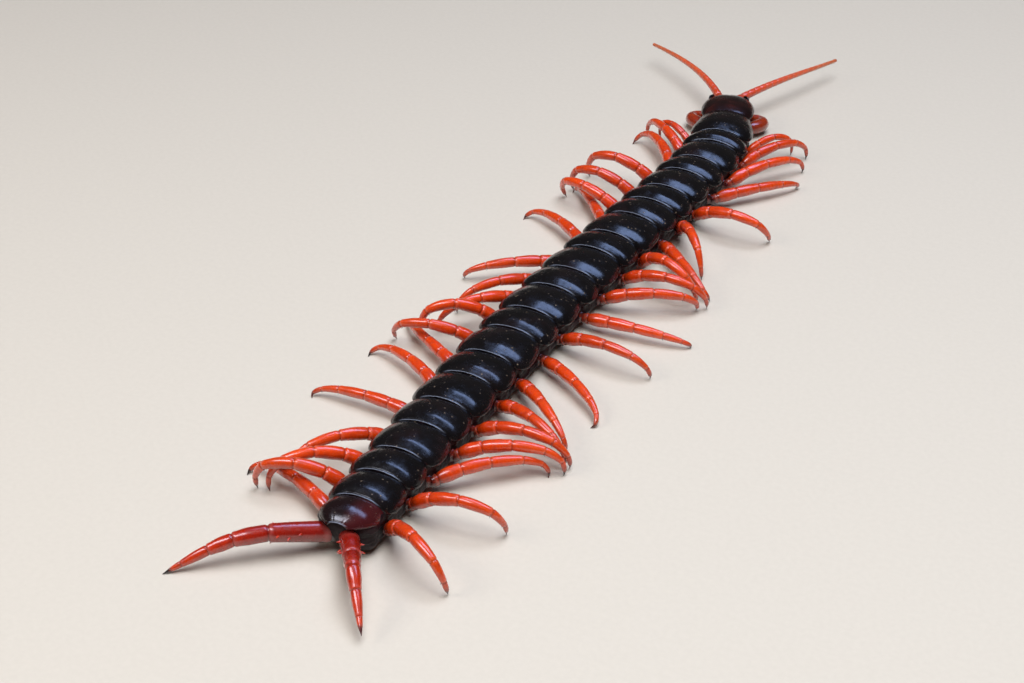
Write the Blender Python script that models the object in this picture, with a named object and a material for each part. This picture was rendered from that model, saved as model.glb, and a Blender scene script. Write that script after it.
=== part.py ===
# A giant centipede at life size, a still model in the stance of a slow walk. The trunk
# has twenty-one back plates and a pair of legs under each, and the last pair trails
# behind it. A head plate, poison claws and feelers lie at the far end.
#
# Sizes are in millimetres, and are turned to metres where a mesh is made. The trunk
# follows a path over the floor. A station is a distance along it from the rear edge of
# the last back plate, and an angle on the floor is in degrees, positive to the
# animal's left. +Y runs from tail to head, and the floor is at z = 0.
import math

import bmesh
import bpy
import numpy as np
from mathutils import Matrix, Vector

MODEL = "giant_centipede"
MM = 0.001
GAP = 0.3  # clear space kept between neighbouring pieces
UP = Vector((0, 0, 1))
DOWN = -UP

# Trunk: the back plates from the first, behind the head, to the last
PLATES = (11.6, 6.2, 9.6, 7.8, 9.4, 7.6, 8.2, 10.0, 8.2, 10.2, 8.4,
          10.4, 8.6, 10.4, 8.8, 10.0, 8.8, 9.4, 7.9, 8.3, 8.6)
COUNT = len(PLATES)
TRUNK = sum(PLATES)
HEAD = 12.6
WHOLE = TRUNK + HEAD
TAIL = (1.550, -109.167)  # puts the origin under the middle of the model
# Share of the whole length, and there the way ahead and the width
BENDS = ((0.0, 3.0), (0.2, 0.7), (0.4, -1.1), (0.6, -5.8), (0.8, -3.4), (0.9, 11.6), (1.0, 20.0))
WIDTHS = ((0.0, 12.4), (0.05, 13.6), (0.15, 15.0), (0.35, 16.4), (0.65, 16.9), (0.85, 16.0),
          (0.94, 14.4))
BELLY_Z = 0.8
COXA_LOW_Z = 1.3
COXA_TOP_Z = 4.5
MARGIN_LOW_Z = 5.6
MARGIN_TOP_Z = 6.4
BACK_Z = 9.6

# Shares of the half width where the belly plate and the leg bases end
BELLY_SHARE = 0.56
COXA_LOW_SHARE = 0.80
COXA_TOP_SHARE = 0.88
SHOULDER = (0.80, 0.55)  # share of the half width, and of the rise from margin to back
CROWN = (0.42, 0.88)

# One plate from rear to front: place along it, width of the plate, rise of its back,
# width of the leg bases, rise of the belly
PLATE_RINGS = (
    (0.00, 0.76, 0.15, 0.86, 0.25),
    (0.12, 0.88, 0.22, 1.00, 0.00),
    (0.38, 1.00, 0.18, 1.00, 0.00),
    (0.62, 0.96, 0.02, 0.94, 0.00),
    (0.86, 0.84, -0.25, 0.86, 0.05),
)
PLATE_FRONT = (0.77, -0.45, 0.82, 0.25)

# The trunk comes apart into these lengths, from the tail: last plate, first plate
LENGTHS = ((21, 21), (20, 18), (17, 15), (14, 12), (11, 9), (8, 6), (5, 3), (2, 1))

# Legs 1 to 20: the swing of the foot towards the head from straight out, and its reach
LEG_PLACE = 0.10  # share of the plate from its rear edge to the leg under it
LEG_ROOT_Z = 2.6
RIGHT_SWINGS = (40, 51, 59, 57, 6, -48, -35, -15, 7, 30, 10, -4, -40, -40, -27, 0, 17, 37, 7, -31)
RIGHT_REACHES = (12.5, 19.5, 22.5, 23.5, 18.0, 18.5, 22.0, 16.5, 19.0, 20.0,
                 23.0, 20.5, 22.5, 21.5, 20.5, 19.5, 20.5, 22.0, 18.0, 18.5)
LEFT_SWINGS = (40, 45, 40, 2, 5, 17, 42, 21, -36, -54, -49, -28, -8, 38, 22, 0, -49, -39, -12, 19)
LEFT_REACHES = (12.5, 19.5, 22.0, 18.0, 18.0, 18.5, 23.5, 22.0, 22.0, 20.0,
                19.0, 16.5, 18.5, 23.0, 22.0, 23.0, 20.0, 19.0, 18.0, 23.0)
# A leg is an arch, bowed a little to the tail side, a few to the head side
LEG_BOW = 1.5
RIGHT_BOWS = {1: 0.5, 2: 0.0, 3: 0.0, 5: 3.5, 6: 0.5, 8: 2.5, 9: 2.0, 10: 2.5, 13: -2.0, 14: 0.5,
              15: 0.5, 16: 1.0, 17: 0.0, 18: -1.0, 19: 2.5}
LEFT_BOWS = {1: 0.5, 2: 0.0, 3: -2.5, 6: 2.5, 7: -1.0, 8: -2.5, 10: 1.0, 11: 2.0, 13: 2.5, 15: -2.5,
             16: -1.5, 17: 0.0, 18: -0.5, 20: -2.5}
# The two points that an arch is drawn towards: share of the way out, of the rise, of the bow
ARCH_NEAR = (0.31, 1.00, 1.00)
ARCH_FAR = (1.11, 1.36, 1.94)
LEG_LENGTHS = ((1, 18.0), (2, 24.0), (3, 26.0), (8, 25.0), (18, 25.0), (20, 26.0))
LEG_FULL = 24.8  # length of the leg that the girths below are for
# Place along the leg and radius: thigh, femur, shin, two foot joints and the claw
LEG_GIRTHS = ((0.00, 1.25), (0.055, 1.14), (0.15, 1.34), (0.235, 1.08), (0.34, 1.22), (0.46, 0.94),
              (0.58, 1.02), (0.71, 0.74), (0.80, 0.70), (0.875, 0.46), (0.95, 0.36), (0.985, 0.20))
FOOT_RADIUS = 0.15
LEG_SIDES = 7

# The last back plate narrows over the roots of the last legs: station, half width,
# height of its back and of its edge; the body under it ends sooner
LAST_PLATE_RINGS = (
    (1.0, 3.3, 8.5, 7.5),
    (2.4, 4.7, 9.2, 7.2),
    (4.4, 5.7, 9.6, 6.8),
    (7.2, 5.6, 9.5, 6.2),
)
LAST_PLATE_THICK = 0.9
LAST_UNDER_SHARE = 0.6  # share of the half width where its hollow underside starts
LAST_BODY_START = 5.2

# The last legs: the root's station and side, the angle and rise on leaving, the angle,
# reach and height of the tip, the angle of arrival, the length
LAST_LEGS = {
    1: (2.8, 1.3, -149.0, 8.0, -148.5, 24.6, 2.2, -147.0, 26.4),
    -1: (1.9, 4.7, 124.0, 8.0, 127.2, 27.4, 0.0, 130.0, 28.4),
}
LAST_ROOT_Z = 4.3
LAST_BASE_RADIUS = 1.9
LAST_BASE_INSIDE = 4.0
LAST_BASE_SIDES = 10
LAST_FALL = 24.0
LAST_GIRTHS = ((0.00, 1.55), (0.05, 1.66), (0.16, 1.76), (0.29, 1.58), (0.31, 1.48), (0.42, 1.58),
               (0.51, 1.34), (0.53, 1.25), (0.60, 1.30), (0.67, 1.10), (0.69, 0.98), (0.79, 0.86),
               (0.86, 0.58), (0.94, 0.40), (0.98, 0.22))
LAST_SIDES = 9
# Spines under and inside the thigh of the last legs: place along it and turn about it
THIGH_SPINES = ((0.10, 70.0), (0.17, 95.0), (0.24, 80.0), (0.27, 180.0), (0.14, -80.0), (0.22, -95.0))
SPINE_LENGTH = 0.9
SPINE_RADIUS = 0.34
SPINE_TIP_RADIUS = 0.06
SPINE_LEAN = 0.5  # towards the foot, against its way out
SPINE_SIDES = 5
SPINE_SUNK = 0.45

# Head plate: place along it, share of the half width, height of its back and underside
HEAD_HALF = 6.5
HEAD_RINGS = (
    (0.025, 0.80, 8.8, 4.9),
    (0.12, 0.92, 9.1, 4.9),
    (0.34, 1.00, 9.2, 4.9),
    (0.58, 0.96, 8.9, 4.9),
    (0.78, 0.82, 8.3, 5.0),
    (0.92, 0.60, 7.6, 5.2),
    (1.00, 0.38, 7.1, 5.4),
)
HEAD_MARGIN_SHARE = 0.42  # where the edge of the plate lies between underside and back
HEAD_LIP = 0.6
HEAD_UNDER_SHARE = 0.72  # share of the half width where the underside ends
HEAD_SHOULDER = (0.84, 0.52)  # share of the half width, and of the rise from edge to back
HEAD_CROWN = (0.46, 0.88)

# Feelers: the angle on leaving and at the tip from the way ahead, the tip's angle,
# reach and height; each is a slight curve
FEELER_SIDE = 2.1
FEELER_STATION = WHOLE - 1.0
FEELER_Z = 6.3
FEELER_SOCKET = 1.05
FEELER_SOCKET_REACH = 1.5
FEELER_SOCKET_SIDES = 8
FEELERS = {
    1: (-44.0, -38.0, -41.0, 37.0, 5.5),
    -1: (18.0, 38.0, 29.0, 36.5, 6.0),
}
FEELER_RISE = 6.0
FEELER_FALL = 4.0
FEELER_ARTICLES = 18
FEELER_ROOT_RADIUS = 1.05
FEELER_TIP_RADIUS = 0.40
FEELER_TAPER = 0.8
FEELER_WAIST = 0.84
FEELER_WIDEST = 0.62  # share of an article where it is widest
FEELER_SIDES = 6
FEELER_END = 0.7  # girth of the blunt end against the last article

# Plate under the head that the poison claws grow from: station past the head's start,
# half width, underside and top
CLAW_BASE_RINGS = (
    (0.1, 3.9, 1.3, 4.3),
    (1.2, 4.9, 1.0, 4.4),
    (5.2, 4.9, 1.0, 4.4),
    (7.2, 3.6, 1.5, 4.1),
    (8.0, 2.6, 2.0, 3.6),
)
CLAW_BASE_UNDER = 0.7  # shares of the half width where its flat underside and top end
CLAW_BASE_TOP = 0.8
CLAW_BASE_FACE = 0.9  # half the height of the flat at its side
TOOTH_STATION = 7.6
TOOTH_SIDES = (1.2, 0.96)  # distance from the middle, behind and in front
TOOTH_REACH = 1.8
TOOTH_RADII = (0.9, 0.54)
TOOTH_FALL = 0.2
TOOTH_FACES = 6
CLAW_ROOT_STATION = 3.2
CLAW_Z = 2.65
CLAW_LENGTH = 15.5
CLAW_LEAVE = -58.0
CLAW_ARRIVE = 78.0
CLAW_TIP = (12.0, 0.9, 2.15)  # past the head's start, from the middle, and its height
CLAW_GIRTHS = ((0.00, 1.45), (0.10, 1.60), (0.30, 1.64), (0.45, 1.38), (0.50, 1.26), (0.62, 1.10),
               (0.66, 0.95), (0.82, 0.60), (0.94, 0.34), (1.00, 0.12))
CLAW_SIDES = 8
CLAW_FLAT = 0.95

# Eyes: four low domes on a thin patch at each side of the head
EYE_PATCH = (1.15, 0.80, 0.26)
EYE_RADIUS = 0.34
EYE_SINK = 0.5  # share of the patch's height that the domes' middles stand at
EYE_SPOTS = ((0.55, 0.30), (-0.35, 0.36), (0.20, -0.34), (-0.60, -0.30))


def heading(station):
    shares, degrees = zip(*BENDS)
    return np.interp(station / WHOLE, shares, degrees)


def build_path(step=0.1, spare=20.0):
    """Points every tenth of a millimetre along the trunk, run on at both ends."""
    stations = np.arange(-spare, WHOLE + spare, step)
    turns = np.radians(heading(stations))
    xs = np.cumsum(-np.sin(turns)) * step
    ys = np.cumsum(np.cos(turns)) * step
    start = np.searchsorted(stations, 0.0)
    return stations, xs - xs[start] + TAIL[0], ys - ys[start] + TAIL[1]


PATH = build_path()


def place(station, right=0.0, height=0.0):
    """A point from its station, its distance to the right of the path, and its height."""
    turn = math.radians(heading(station))
    x = np.interp(station, PATH[0], PATH[1]) + right * math.cos(turn)
    y = np.interp(station, PATH[0], PATH[2]) + right * math.sin(turn)
    return Vector((x, y, height))


def direction(station, degrees, rise=0.0):
    """A unit vector at an angle to the left of the way ahead, and a rise, in degrees."""
    turn = math.radians(heading(station) + degrees)
    up = math.radians(rise)
    return Vector((-math.sin(turn) * math.cos(up), math.cos(turn) * math.cos(up), math.sin(up)))


def half_width(station):
    shares, widths = zip(*WIDTHS)
    return np.interp(station / WHOLE, shares, widths) / 2


def plate_rear(number):
    return sum(PLATES[number:])


def loft(name, rings, material):
    """A closed body through rings of equally many points."""
    mesh = bpy.data.meshes.new(name)
    bm = bmesh.new()
    loops = [[bm.verts.new(Vector(point) * MM) for point in ring] for ring in rings]
    for near, far in zip(loops, loops[1:]):
        for i in range(len(near)):
            j = (i + 1) % len(near)
            bm.faces.new((near[i], near[j], far[j], far[i]))
    bm.faces.new(reversed(loops[0]))
    bm.faces.new(loops[-1])
    bmesh.ops.triangulate(bm, faces=bm.faces[:], quad_method="SHORT_EDGE", ngon_method="EAR_CLIP")
    bmesh.ops.recalc_face_normals(bm, faces=bm.faces[:])
    bm.to_mesh(mesh)
    bm.free()
    mesh.materials.append(material)
    body = bpy.data.objects.new(name, mesh)
    bpy.data.collections[MODEL].objects.link(body)
    return body


def side_of(axis, before=None):
    """The way across an axis: level, or else as near as can be to the one before it."""
    across = axis.cross(UP) if before is None else before - axis * before.dot(axis)
    return across.normalized()


def ring_about(centre, axis, across, radius, sides, flat=1.0):
    """A ring of points square to an axis, counted from its lower side."""
    over = across.cross(axis)
    ring = []
    for i in range(sides):
        angle = math.tau * i / sides
        ring.append(centre + (across * math.sin(angle) - over * math.cos(angle) * flat) * radius)
    return ring


def bezier(points, t):
    a, b, c, d = points
    u = 1 - t
    return a * u**3 + b * (3 * u * u * t) + c * (3 * u * t * t) + d * t**3


def sweep_line(controls, steps=60):
    line = [bezier(controls, i / steps) for i in range(steps + 1)]
    runs = [0.0]
    for a, b in zip(line, line[1:]):
        runs.append(runs[-1] + (b - a).length)
    return line, runs


def point_at(line, runs, share):
    """The point and the way ahead at a share of a line's length."""
    goal = share * runs[-1]
    i = min(max(int(np.searchsorted(runs, goal)), 1), len(runs) - 1)
    part = (goal - runs[i - 1]) / (runs[i] - runs[i - 1])
    return line[i - 1].lerp(line[i], part), (line[i] - line[i - 1]).normalized()


def fitted_line(controls, length):
    """A curve of a set length; its control points come from how far it is drawn out."""
    low, high = 0.0, length
    for _ in range(40):
        pull = (low + high) / 2
        line, runs = sweep_line(controls(pull))
        if runs[-1] < length:
            low = pull
        else:
            high = pull
    return line, runs


def swung_line(start, leave, end, arrive, length):
    """A curve of a set length between two points, with a set way out and way in."""
    return fitted_line(lambda pull: (start, start + leave * pull, end - arrive * pull, end), length)


def section(station, plate, rise, base, belly):
    """One ring round the trunk, from the middle of the belly up its right side."""
    half = half_width(station)
    back = BACK_Z + rise
    margin = MARGIN_TOP_Z + rise / 2
    side = (
        (BELLY_SHARE * half * base, BELLY_Z + belly),
        (COXA_LOW_SHARE * half * base, COXA_LOW_Z + belly),
        (COXA_TOP_SHARE * half * base, COXA_TOP_Z),
        (half * plate, MARGIN_LOW_Z + rise / 2),
        (half * plate, margin),
        (SHOULDER[0] * half * plate, margin + SHOULDER[1] * (back - margin)),
        (CROWN[0] * half * plate, margin + CROWN[1] * (back - margin)),
    )
    ring = [place(station, 0.0, BELLY_Z + belly)]
    ring += [place(station, x, z) for x, z in side]
    ring.append(place(station, 0.0, back))
    ring += [place(station, -x, z) for x, z in reversed(side)]
    return ring


def trunk_length(last, first, material):
    """Some back plates with the belly under them, as one body."""
    rings = []
    for number in range(last, first - 1, -1):
        rear = plate_rear(number)
        for share, plate, rise, base, belly in PLATE_RINGS:
            rings.append(section(rear + share * PLATES[number - 1], plate, rise, base, belly))
        rings.append(section(rear + PLATES[number - 1] - GAP, *PLATE_FRONT))
    name = "trunk_%d" % first if first == last else "trunk_%d_to_%d" % (first, last)
    return loft(name, rings, material)


def leg_length(number):
    numbers, lengths = zip(*LEG_LENGTHS)
    return float(np.interp(number, numbers, lengths))


def leg_face(number, side):
    """The middle of the flat that a leg starts from, and the way out of it."""
    station = plate_rear(number) + PLATES[number - 1] * LEG_PLACE
    half = half_width(station)
    climb = (LEG_ROOT_Z - COXA_LOW_Z) / (COXA_TOP_Z - COXA_LOW_Z)
    share = COXA_LOW_SHARE + climb * (COXA_TOP_SHARE - COXA_LOW_SHARE)
    lean = math.atan2((COXA_TOP_SHARE - COXA_LOW_SHARE) * half, COXA_TOP_Z - COXA_LOW_Z)
    outward = direction(station, -90 * side, -math.degrees(lean))
    return station, place(station, side * half * share, LEG_ROOT_Z), outward


def leg_line(number, side, swing, reach):
    """The middle line of a leg, an arch from its root to the floor; side is 1 on the right."""
    station, face, outward = leg_face(number, side)
    root = face + outward * GAP
    foot = root + direction(station, -side * (90 - swing)) * reach
    foot.z = 0.0
    bow = (RIGHT_BOWS if side > 0 else LEFT_BOWS).get(number, LEG_BOW)
    run = foot - root
    tailward = Vector((run.y, -run.x, 0)).normalized() * side

    def controls(rise):
        drawn = [root + run * out + Vector((0, 0, rise * up)) + tailward * bow * aside
                 for out, up, aside in (ARCH_NEAR, ARCH_FAR)]
        return root, *drawn, foot

    return fitted_line(controls, leg_length(number))


def leg(number, side, swing, reach, material):
    """A walking leg, from the face of its base on the trunk to the floor."""
    size = leg_length(number) / LEG_FULL
    outward = leg_face(number, side)[2]
    line, runs = leg_line(number, side, swing, reach)
    rings = []
    across = side_of(outward)
    for i, (share, radius) in enumerate(LEG_GIRTHS):
        centre, ahead = point_at(line, runs, share)
        turned = (outward, (outward + ahead).normalized())[i] if i < 2 else ahead
        across = side_of(turned, across)
        rings.append(ring_about(centre, turned, across, radius * size, LEG_SIDES))
    rings.append(ring_about(line[-1], DOWN, side_of(DOWN, across), FOOT_RADIUS, LEG_SIDES))
    word = "right" if side > 0 else "left"
    return loft("leg_%s_%02d" % (word, number), rings, material)


def finish(name, colour, roughness):
    material = bpy.data.materials.new(name)
    material.use_nodes = True
    shader = material.node_tree.nodes["Principled BSDF"]
    shader.inputs["Base Color"].default_value = (*colour, 1.0)
    shader.inputs["Roughness"].default_value = roughness
    shader.inputs["Metallic"].default_value = 0.0
    material.diffuse_color = (*colour, 1.0)
    return material


def stub(name, start, end, radius, sides, end_radius=None):
    """A short closed cylinder or cone between two points."""
    mesh = bpy.data.meshes.new(name)
    bm = bmesh.new()
    run = end - start
    tip = radius if end_radius is None else end_radius
    bmesh.ops.create_cone(bm, cap_ends=True, segments=sides, radius1=radius * MM, radius2=tip * MM,
                          depth=run.length * MM)
    turn = run.to_track_quat("Z", "Y").to_matrix().to_4x4()
    bmesh.ops.transform(bm, matrix=Matrix.Translation((start + end) / 2 * MM) @ turn, verts=bm.verts)
    bm.to_mesh(mesh)
    bm.free()
    return bpy.data.objects.new(name, mesh)


def dome(name, centre, axes, sizes, segments, rings):
    """A small ball, stretched along three axes."""
    mesh = bpy.data.meshes.new(name)
    bm = bmesh.new()
    bmesh.ops.create_uvsphere(bm, u_segments=segments, v_segments=rings, radius=1.0)
    frame = Matrix([list(axis) for axis in axes]).transposed().to_4x4()
    grow = Matrix.Diagonal((*[size * MM for size in sizes], 1.0))
    bmesh.ops.transform(bm, matrix=Matrix.Translation(centre * MM) @ frame @ grow, verts=bm.verts)
    bm.to_mesh(mesh)
    bm.free()
    return bpy.data.objects.new(name, mesh)


def keep_largest(mesh):
    """Drops every closed surface of a mesh but the largest."""
    bm = bmesh.new()
    bm.from_mesh(mesh)
    bmesh.ops.remove_doubles(bm, verts=bm.verts, dist=1e-7)
    left = set(bm.faces)
    shells = []
    while left:
        shell, edge = set(), [left.pop()]
        while edge:
            face = edge.pop()
            shell.add(face)
            for side in face.edges:
                for other in side.link_faces:
                    if other in left:
                        left.remove(other)
                        edge.append(other)
        shells.append(shell)
    best = max(shells, key=lambda shell: sum(face.calc_area() for face in shell))
    bmesh.ops.delete(bm, geom=[face for face in bm.faces if face not in best], context="FACES")
    bmesh.ops.triangulate(bm, faces=bm.faces[:], ngon_method="EAR_CLIP")
    bm.to_mesh(mesh)
    bm.free()


def fuse(body, pieces):
    """Joins closed pieces to a body with one union."""
    group = bpy.data.collections.new("to_join")
    bpy.context.scene.collection.children.link(group)
    for piece in pieces:
        group.objects.link(piece)
    union = body.modifiers.new("join", "BOOLEAN")
    union.operation = "UNION"
    union.operand_type = "COLLECTION"
    union.collection = group
    union.solver = "MANIFOLD"
    bpy.context.view_layer.update()
    joined = bpy.data.meshes.new_from_object(body.evaluated_get(bpy.context.evaluated_depsgraph_get()))
    body.modifiers.remove(union)
    material = body.data.materials[0]
    body.data = joined
    joined.name = body.name
    joined.materials.clear()
    joined.materials.append(material)
    keep_largest(joined)
    for piece in list(group.objects):
        bpy.data.objects.remove(piece, do_unlink=True)
    bpy.data.collections.remove(group)
    return body


def last_root(side):
    """Where a last leg starts, and its direction there."""
    station, out, angle, rise = LAST_LEGS[side][:4]
    return place(station, side * out, LAST_ROOT_Z), direction(station, angle, rise)


def last_length(material):
    """The last back plate, the body under it and the bases of the last legs."""
    rings = []
    for station, half, back, edge in LAST_PLATE_RINGS:
        under = edge - LAST_PLATE_THICK / 2
        rim = ((half, under), (half, edge), (SHOULDER[0] * half, edge + SHOULDER[1] * (back - edge)),
               (CROWN[0] * half, edge + CROWN[1] * (back - edge)))
        hollow = back - LAST_PLATE_THICK if rings else under
        ring = [place(station, 0.0, hollow), place(station, LAST_UNDER_SHARE * half, under)]
        ring += [place(station, x, z) for x, z in rim]
        ring.append(place(station, 0.0, back))
        ring += [place(station, -x, z) for x, z in reversed(rim)]
        ring.append(place(station, -LAST_UNDER_SHARE * half, under))
        rings.append(ring)
    body_rings = []
    for share, plate, rise, base, belly in PLATE_RINGS:
        station = max(share * PLATES[-1], LAST_BODY_START)
        if body_rings and station == LAST_BODY_START:
            continue
        body_rings.append(section(station, plate, rise, base, belly))
    body_rings.append(section(PLATES[-1] - GAP, *PLATE_FRONT))
    body = loft("trunk_21", body_rings, material)
    plate = loft("back_plate", rings, material)
    bpy.data.collections[MODEL].objects.unlink(plate)
    pieces = [plate]
    for side in (1, -1):
        root, way = last_root(side)
        end = root - way * GAP
        pieces.append(stub("base", end - way * LAST_BASE_INSIDE, end, LAST_BASE_RADIUS, LAST_BASE_SIDES,
                           LAST_GIRTHS[0][1]))
    return fuse(body, pieces)


def last_leg(side, material):
    """One of the trailing legs, with spines on its thigh."""
    root, way = last_root(side)
    angle, reach, height, arrive, length = LAST_LEGS[side][4:]
    foot = root + direction(0.0, angle) * reach
    foot.z = height
    line, runs = swung_line(root, way, foot, direction(0.0, arrive, -LAST_FALL), length)
    rings = []
    for share, radius in LAST_GIRTHS:
        centre, ahead = point_at(line, runs, share)
        turned = way if share == 0 else ahead
        rings.append(ring_about(centre, turned, side_of(turned), radius, LAST_SIDES))
    sole = DOWN if height == 0 else ahead
    rings.append(ring_about(line[-1], sole, side_of(ahead), FOOT_RADIUS, LAST_SIDES))
    word = "right" if side > 0 else "left"
    body = loft("last_leg_%s" % word, rings, material)
    shares, radii = zip(*LAST_GIRTHS)
    pieces = []
    for share, turn in THIGH_SPINES:
        centre, ahead = point_at(line, runs, share)
        across = side_of(ahead)
        over = across.cross(ahead)
        out = across * math.sin(math.radians(turn)) * side + over * math.cos(math.radians(turn))
        radius = float(np.interp(share, shares, radii))
        lean = (out + ahead * SPINE_LEAN).normalized()
        foot_of_spine = centre + out * (radius - SPINE_SUNK)
        tip = foot_of_spine + lean * (SPINE_SUNK + SPINE_LENGTH)
        pieces.append(stub("spine", foot_of_spine, tip, SPINE_RADIUS, SPINE_SIDES, SPINE_TIP_RADIUS))
    return fuse(body, pieces)


def head_ring(share, wide, back, under):
    """One ring round the head, from the middle of its underside up its right side."""
    station = TRUNK + share * HEAD
    half = wide * HEAD_HALF
    margin = under + (back - under) * HEAD_MARGIN_SHARE
    side = (
        (HEAD_UNDER_SHARE * half, under),
        (half, margin - HEAD_LIP),
        (half, margin),
        (HEAD_SHOULDER[0] * half, margin + HEAD_SHOULDER[1] * (back - margin)),
        (HEAD_CROWN[0] * half, margin + HEAD_CROWN[1] * (back - margin)),
    )
    ring = [place(station, 0.0, under)]
    ring += [place(station, x, z) for x, z in side]
    ring.append(place(station, 0.0, back))
    ring += [place(station, -x, z) for x, z in reversed(side)]
    return ring


def feeler_root(side):
    way = direction(FEELER_STATION, FEELERS[side][0], FEELER_RISE)
    middle = place(FEELER_STATION, side * FEELER_SIDE, FEELER_Z)
    return middle - way * FEELER_SOCKET_REACH, middle + way * FEELER_SOCKET_REACH, way


def head(material):
    body = loft("head", [head_ring(*row) for row in HEAD_RINGS], material)
    sockets = []
    for side in (1, -1):
        start, end, way = feeler_root(side)
        sockets.append(stub("socket", start, end, FEELER_SOCKET, FEELER_SOCKET_SIDES))
    return fuse(body, sockets)


def feeler(side, material):
    """A feeler of short articles, narrowed at each joint and thinner to its tip."""
    end, way = feeler_root(side)[1:]
    arrive, angle, reach, height = FEELERS[side][1:]
    root = end + way * GAP
    tip = root + direction(WHOLE, angle) * reach
    tip.z = height
    drawn = direction(WHOLE, arrive, -FEELER_FALL) * reach / 3
    line, runs = sweep_line((root, root + way * reach / 3, tip - drawn, tip))
    rings = []
    for i in range(FEELER_ARTICLES):
        for part, girth in ((0.0, FEELER_WAIST), (FEELER_WIDEST, 1.0)):
            share = (i + part) / FEELER_ARTICLES
            radius = FEELER_ROOT_RADIUS + (FEELER_TIP_RADIUS - FEELER_ROOT_RADIUS) * share**FEELER_TAPER
            centre, ahead = point_at(line, runs, share)
            rings.append(ring_about(centre, ahead, side_of(ahead), radius * girth, FEELER_SIDES))
    rings.append(ring_about(line[-1], ahead, side_of(ahead), FEELER_TIP_RADIUS * FEELER_END, FEELER_SIDES))
    return loft("feeler_%s" % ("right" if side > 0 else "left"), rings, material)


def claw_base(material):
    """The plate under the head that carries the poison claws, with its two tooth plates."""
    rings = []
    for past, half, under, top in CLAW_BASE_RINGS:
        station = TRUNK + past
        middle = (under + top) / 2
        side = ((CLAW_BASE_UNDER * half, under), (half, middle - CLAW_BASE_FACE),
                (half, middle + CLAW_BASE_FACE), (CLAW_BASE_TOP * half, top))
        ring = [place(station, 0.0, under)] + [place(station, x, z) for x, z in side]
        ring += [place(station, 0.0, top)] + [place(station, -x, z) for x, z in reversed(side)]
        rings.append(ring)
    body = loft("poison_claw_base", rings, material)
    teeth = []
    for side in (1, -1):
        start = place(TRUNK + TOOTH_STATION - TOOTH_REACH / 2, side * TOOTH_SIDES[0], CLAW_Z)
        ahead = TRUNK + TOOTH_STATION + TOOTH_REACH / 2
        end = place(ahead, side * TOOTH_SIDES[1], CLAW_Z - TOOTH_FALL)
        teeth.append(stub("tooth_plate", start, end, TOOTH_RADII[0], TOOTH_FACES, TOOTH_RADII[1]))
    return fuse(body, teeth)


def poison_claw(side, material):
    """A poison claw, bent round under the edge of the head to a sharp tip."""
    station = TRUNK + CLAW_ROOT_STATION
    half = CLAW_BASE_RINGS[1][1]
    root = place(station, side * (half + GAP), CLAW_Z)
    tip = place(TRUNK + CLAW_TIP[0], side * CLAW_TIP[1], CLAW_TIP[2])
    leave = direction(station, side * CLAW_LEAVE)
    arrive = direction(station, side * CLAW_ARRIVE)
    line, runs = swung_line(root, leave, tip, arrive, CLAW_LENGTH)
    rings = []
    for share, radius in CLAW_GIRTHS:
        centre, ahead = point_at(line, runs, share)
        turned = direction(station, -90 * side) if share == 0 else ahead
        rings.append(ring_about(centre, turned, side_of(turned), radius, CLAW_SIDES, CLAW_FLAT))
    return loft("poison_claw_%s" % ("right" if side > 0 else "left"), rings, material)


def eyes(side, material):
    """The four small eyes at one side of the head, on the patch that they share."""
    before, after = (head_ring(*HEAD_RINGS[i]) for i in (4, 5))
    low, high = (3, 4) if side > 0 else (9, 8)
    corners = (before[low], before[high], after[low], after[high])
    spot = sum(corners, Vector()) / 4
    along = ((after[low] + after[high]) - (before[low] + before[high])).normalized()
    up = ((before[high] + after[high]) - (before[low] + after[low])).normalized()
    out = along.cross(up).normalized()
    if out.dot(direction(WHOLE, -90 * side)) < 0:
        out = -out
    up = out.cross(along)
    axes = (along, up, out)
    centre = spot + out * (GAP + EYE_PATCH[2])
    body = dome("eyes_%s" % ("right" if side > 0 else "left"), centre, axes, EYE_PATCH, 10, 6)
    bpy.data.collections[MODEL].objects.link(body)
    body.data.materials.append(material)
    domes = []
    for x, y in EYE_SPOTS:
        middle = centre + along * x + up * y + out * EYE_PATCH[2] * EYE_SINK
        domes.append(dome("eye", middle, axes, (EYE_RADIUS,) * 3, 8, 6))
    return fuse(body, domes)


for thing in list(bpy.data.objects):
    bpy.data.objects.remove(thing, do_unlink=True)
bpy.context.scene.collection.children.link(bpy.data.collections.new(MODEL))

plate_black = finish("black_back_plate", (0.010, 0.008, 0.009), 0.28)
head_brown = finish("dark_red_head_plate", (0.045, 0.008, 0.006), 0.28)
leg_orange = finish("orange_leg_cuticle", (0.62, 0.055, 0.012), 0.32)
last_red = finish("red_last_leg_cuticle", (0.45, 0.020, 0.010), 0.30)
claw_red = finish("red_poison_claw_cuticle", (0.40, 0.030, 0.008), 0.28)
feeler_orange = finish("orange_feeler_cuticle", (0.55, 0.060, 0.015), 0.38)
eye_black = finish("black_eye", (0.004, 0.004, 0.005), 0.10)

last_length(plate_black)
for last, first in LENGTHS[1:]:
    trunk_length(last, first, plate_black)
for number in range(1, COUNT):
    leg(number, 1, RIGHT_SWINGS[number - 1], RIGHT_REACHES[number - 1], leg_orange)
    leg(number, -1, LEFT_SWINGS[number - 1], LEFT_REACHES[number - 1], leg_orange)
head(head_brown)
claw_base(claw_red)
for side in (1, -1):
    last_leg(side, last_red)
    feeler(side, feeler_orange)
    poison_claw(side, claw_red)
    eyes(side, eye_black)
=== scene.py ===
import math

import bmesh
import bpy
import numpy as np
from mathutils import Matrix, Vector, noise


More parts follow.
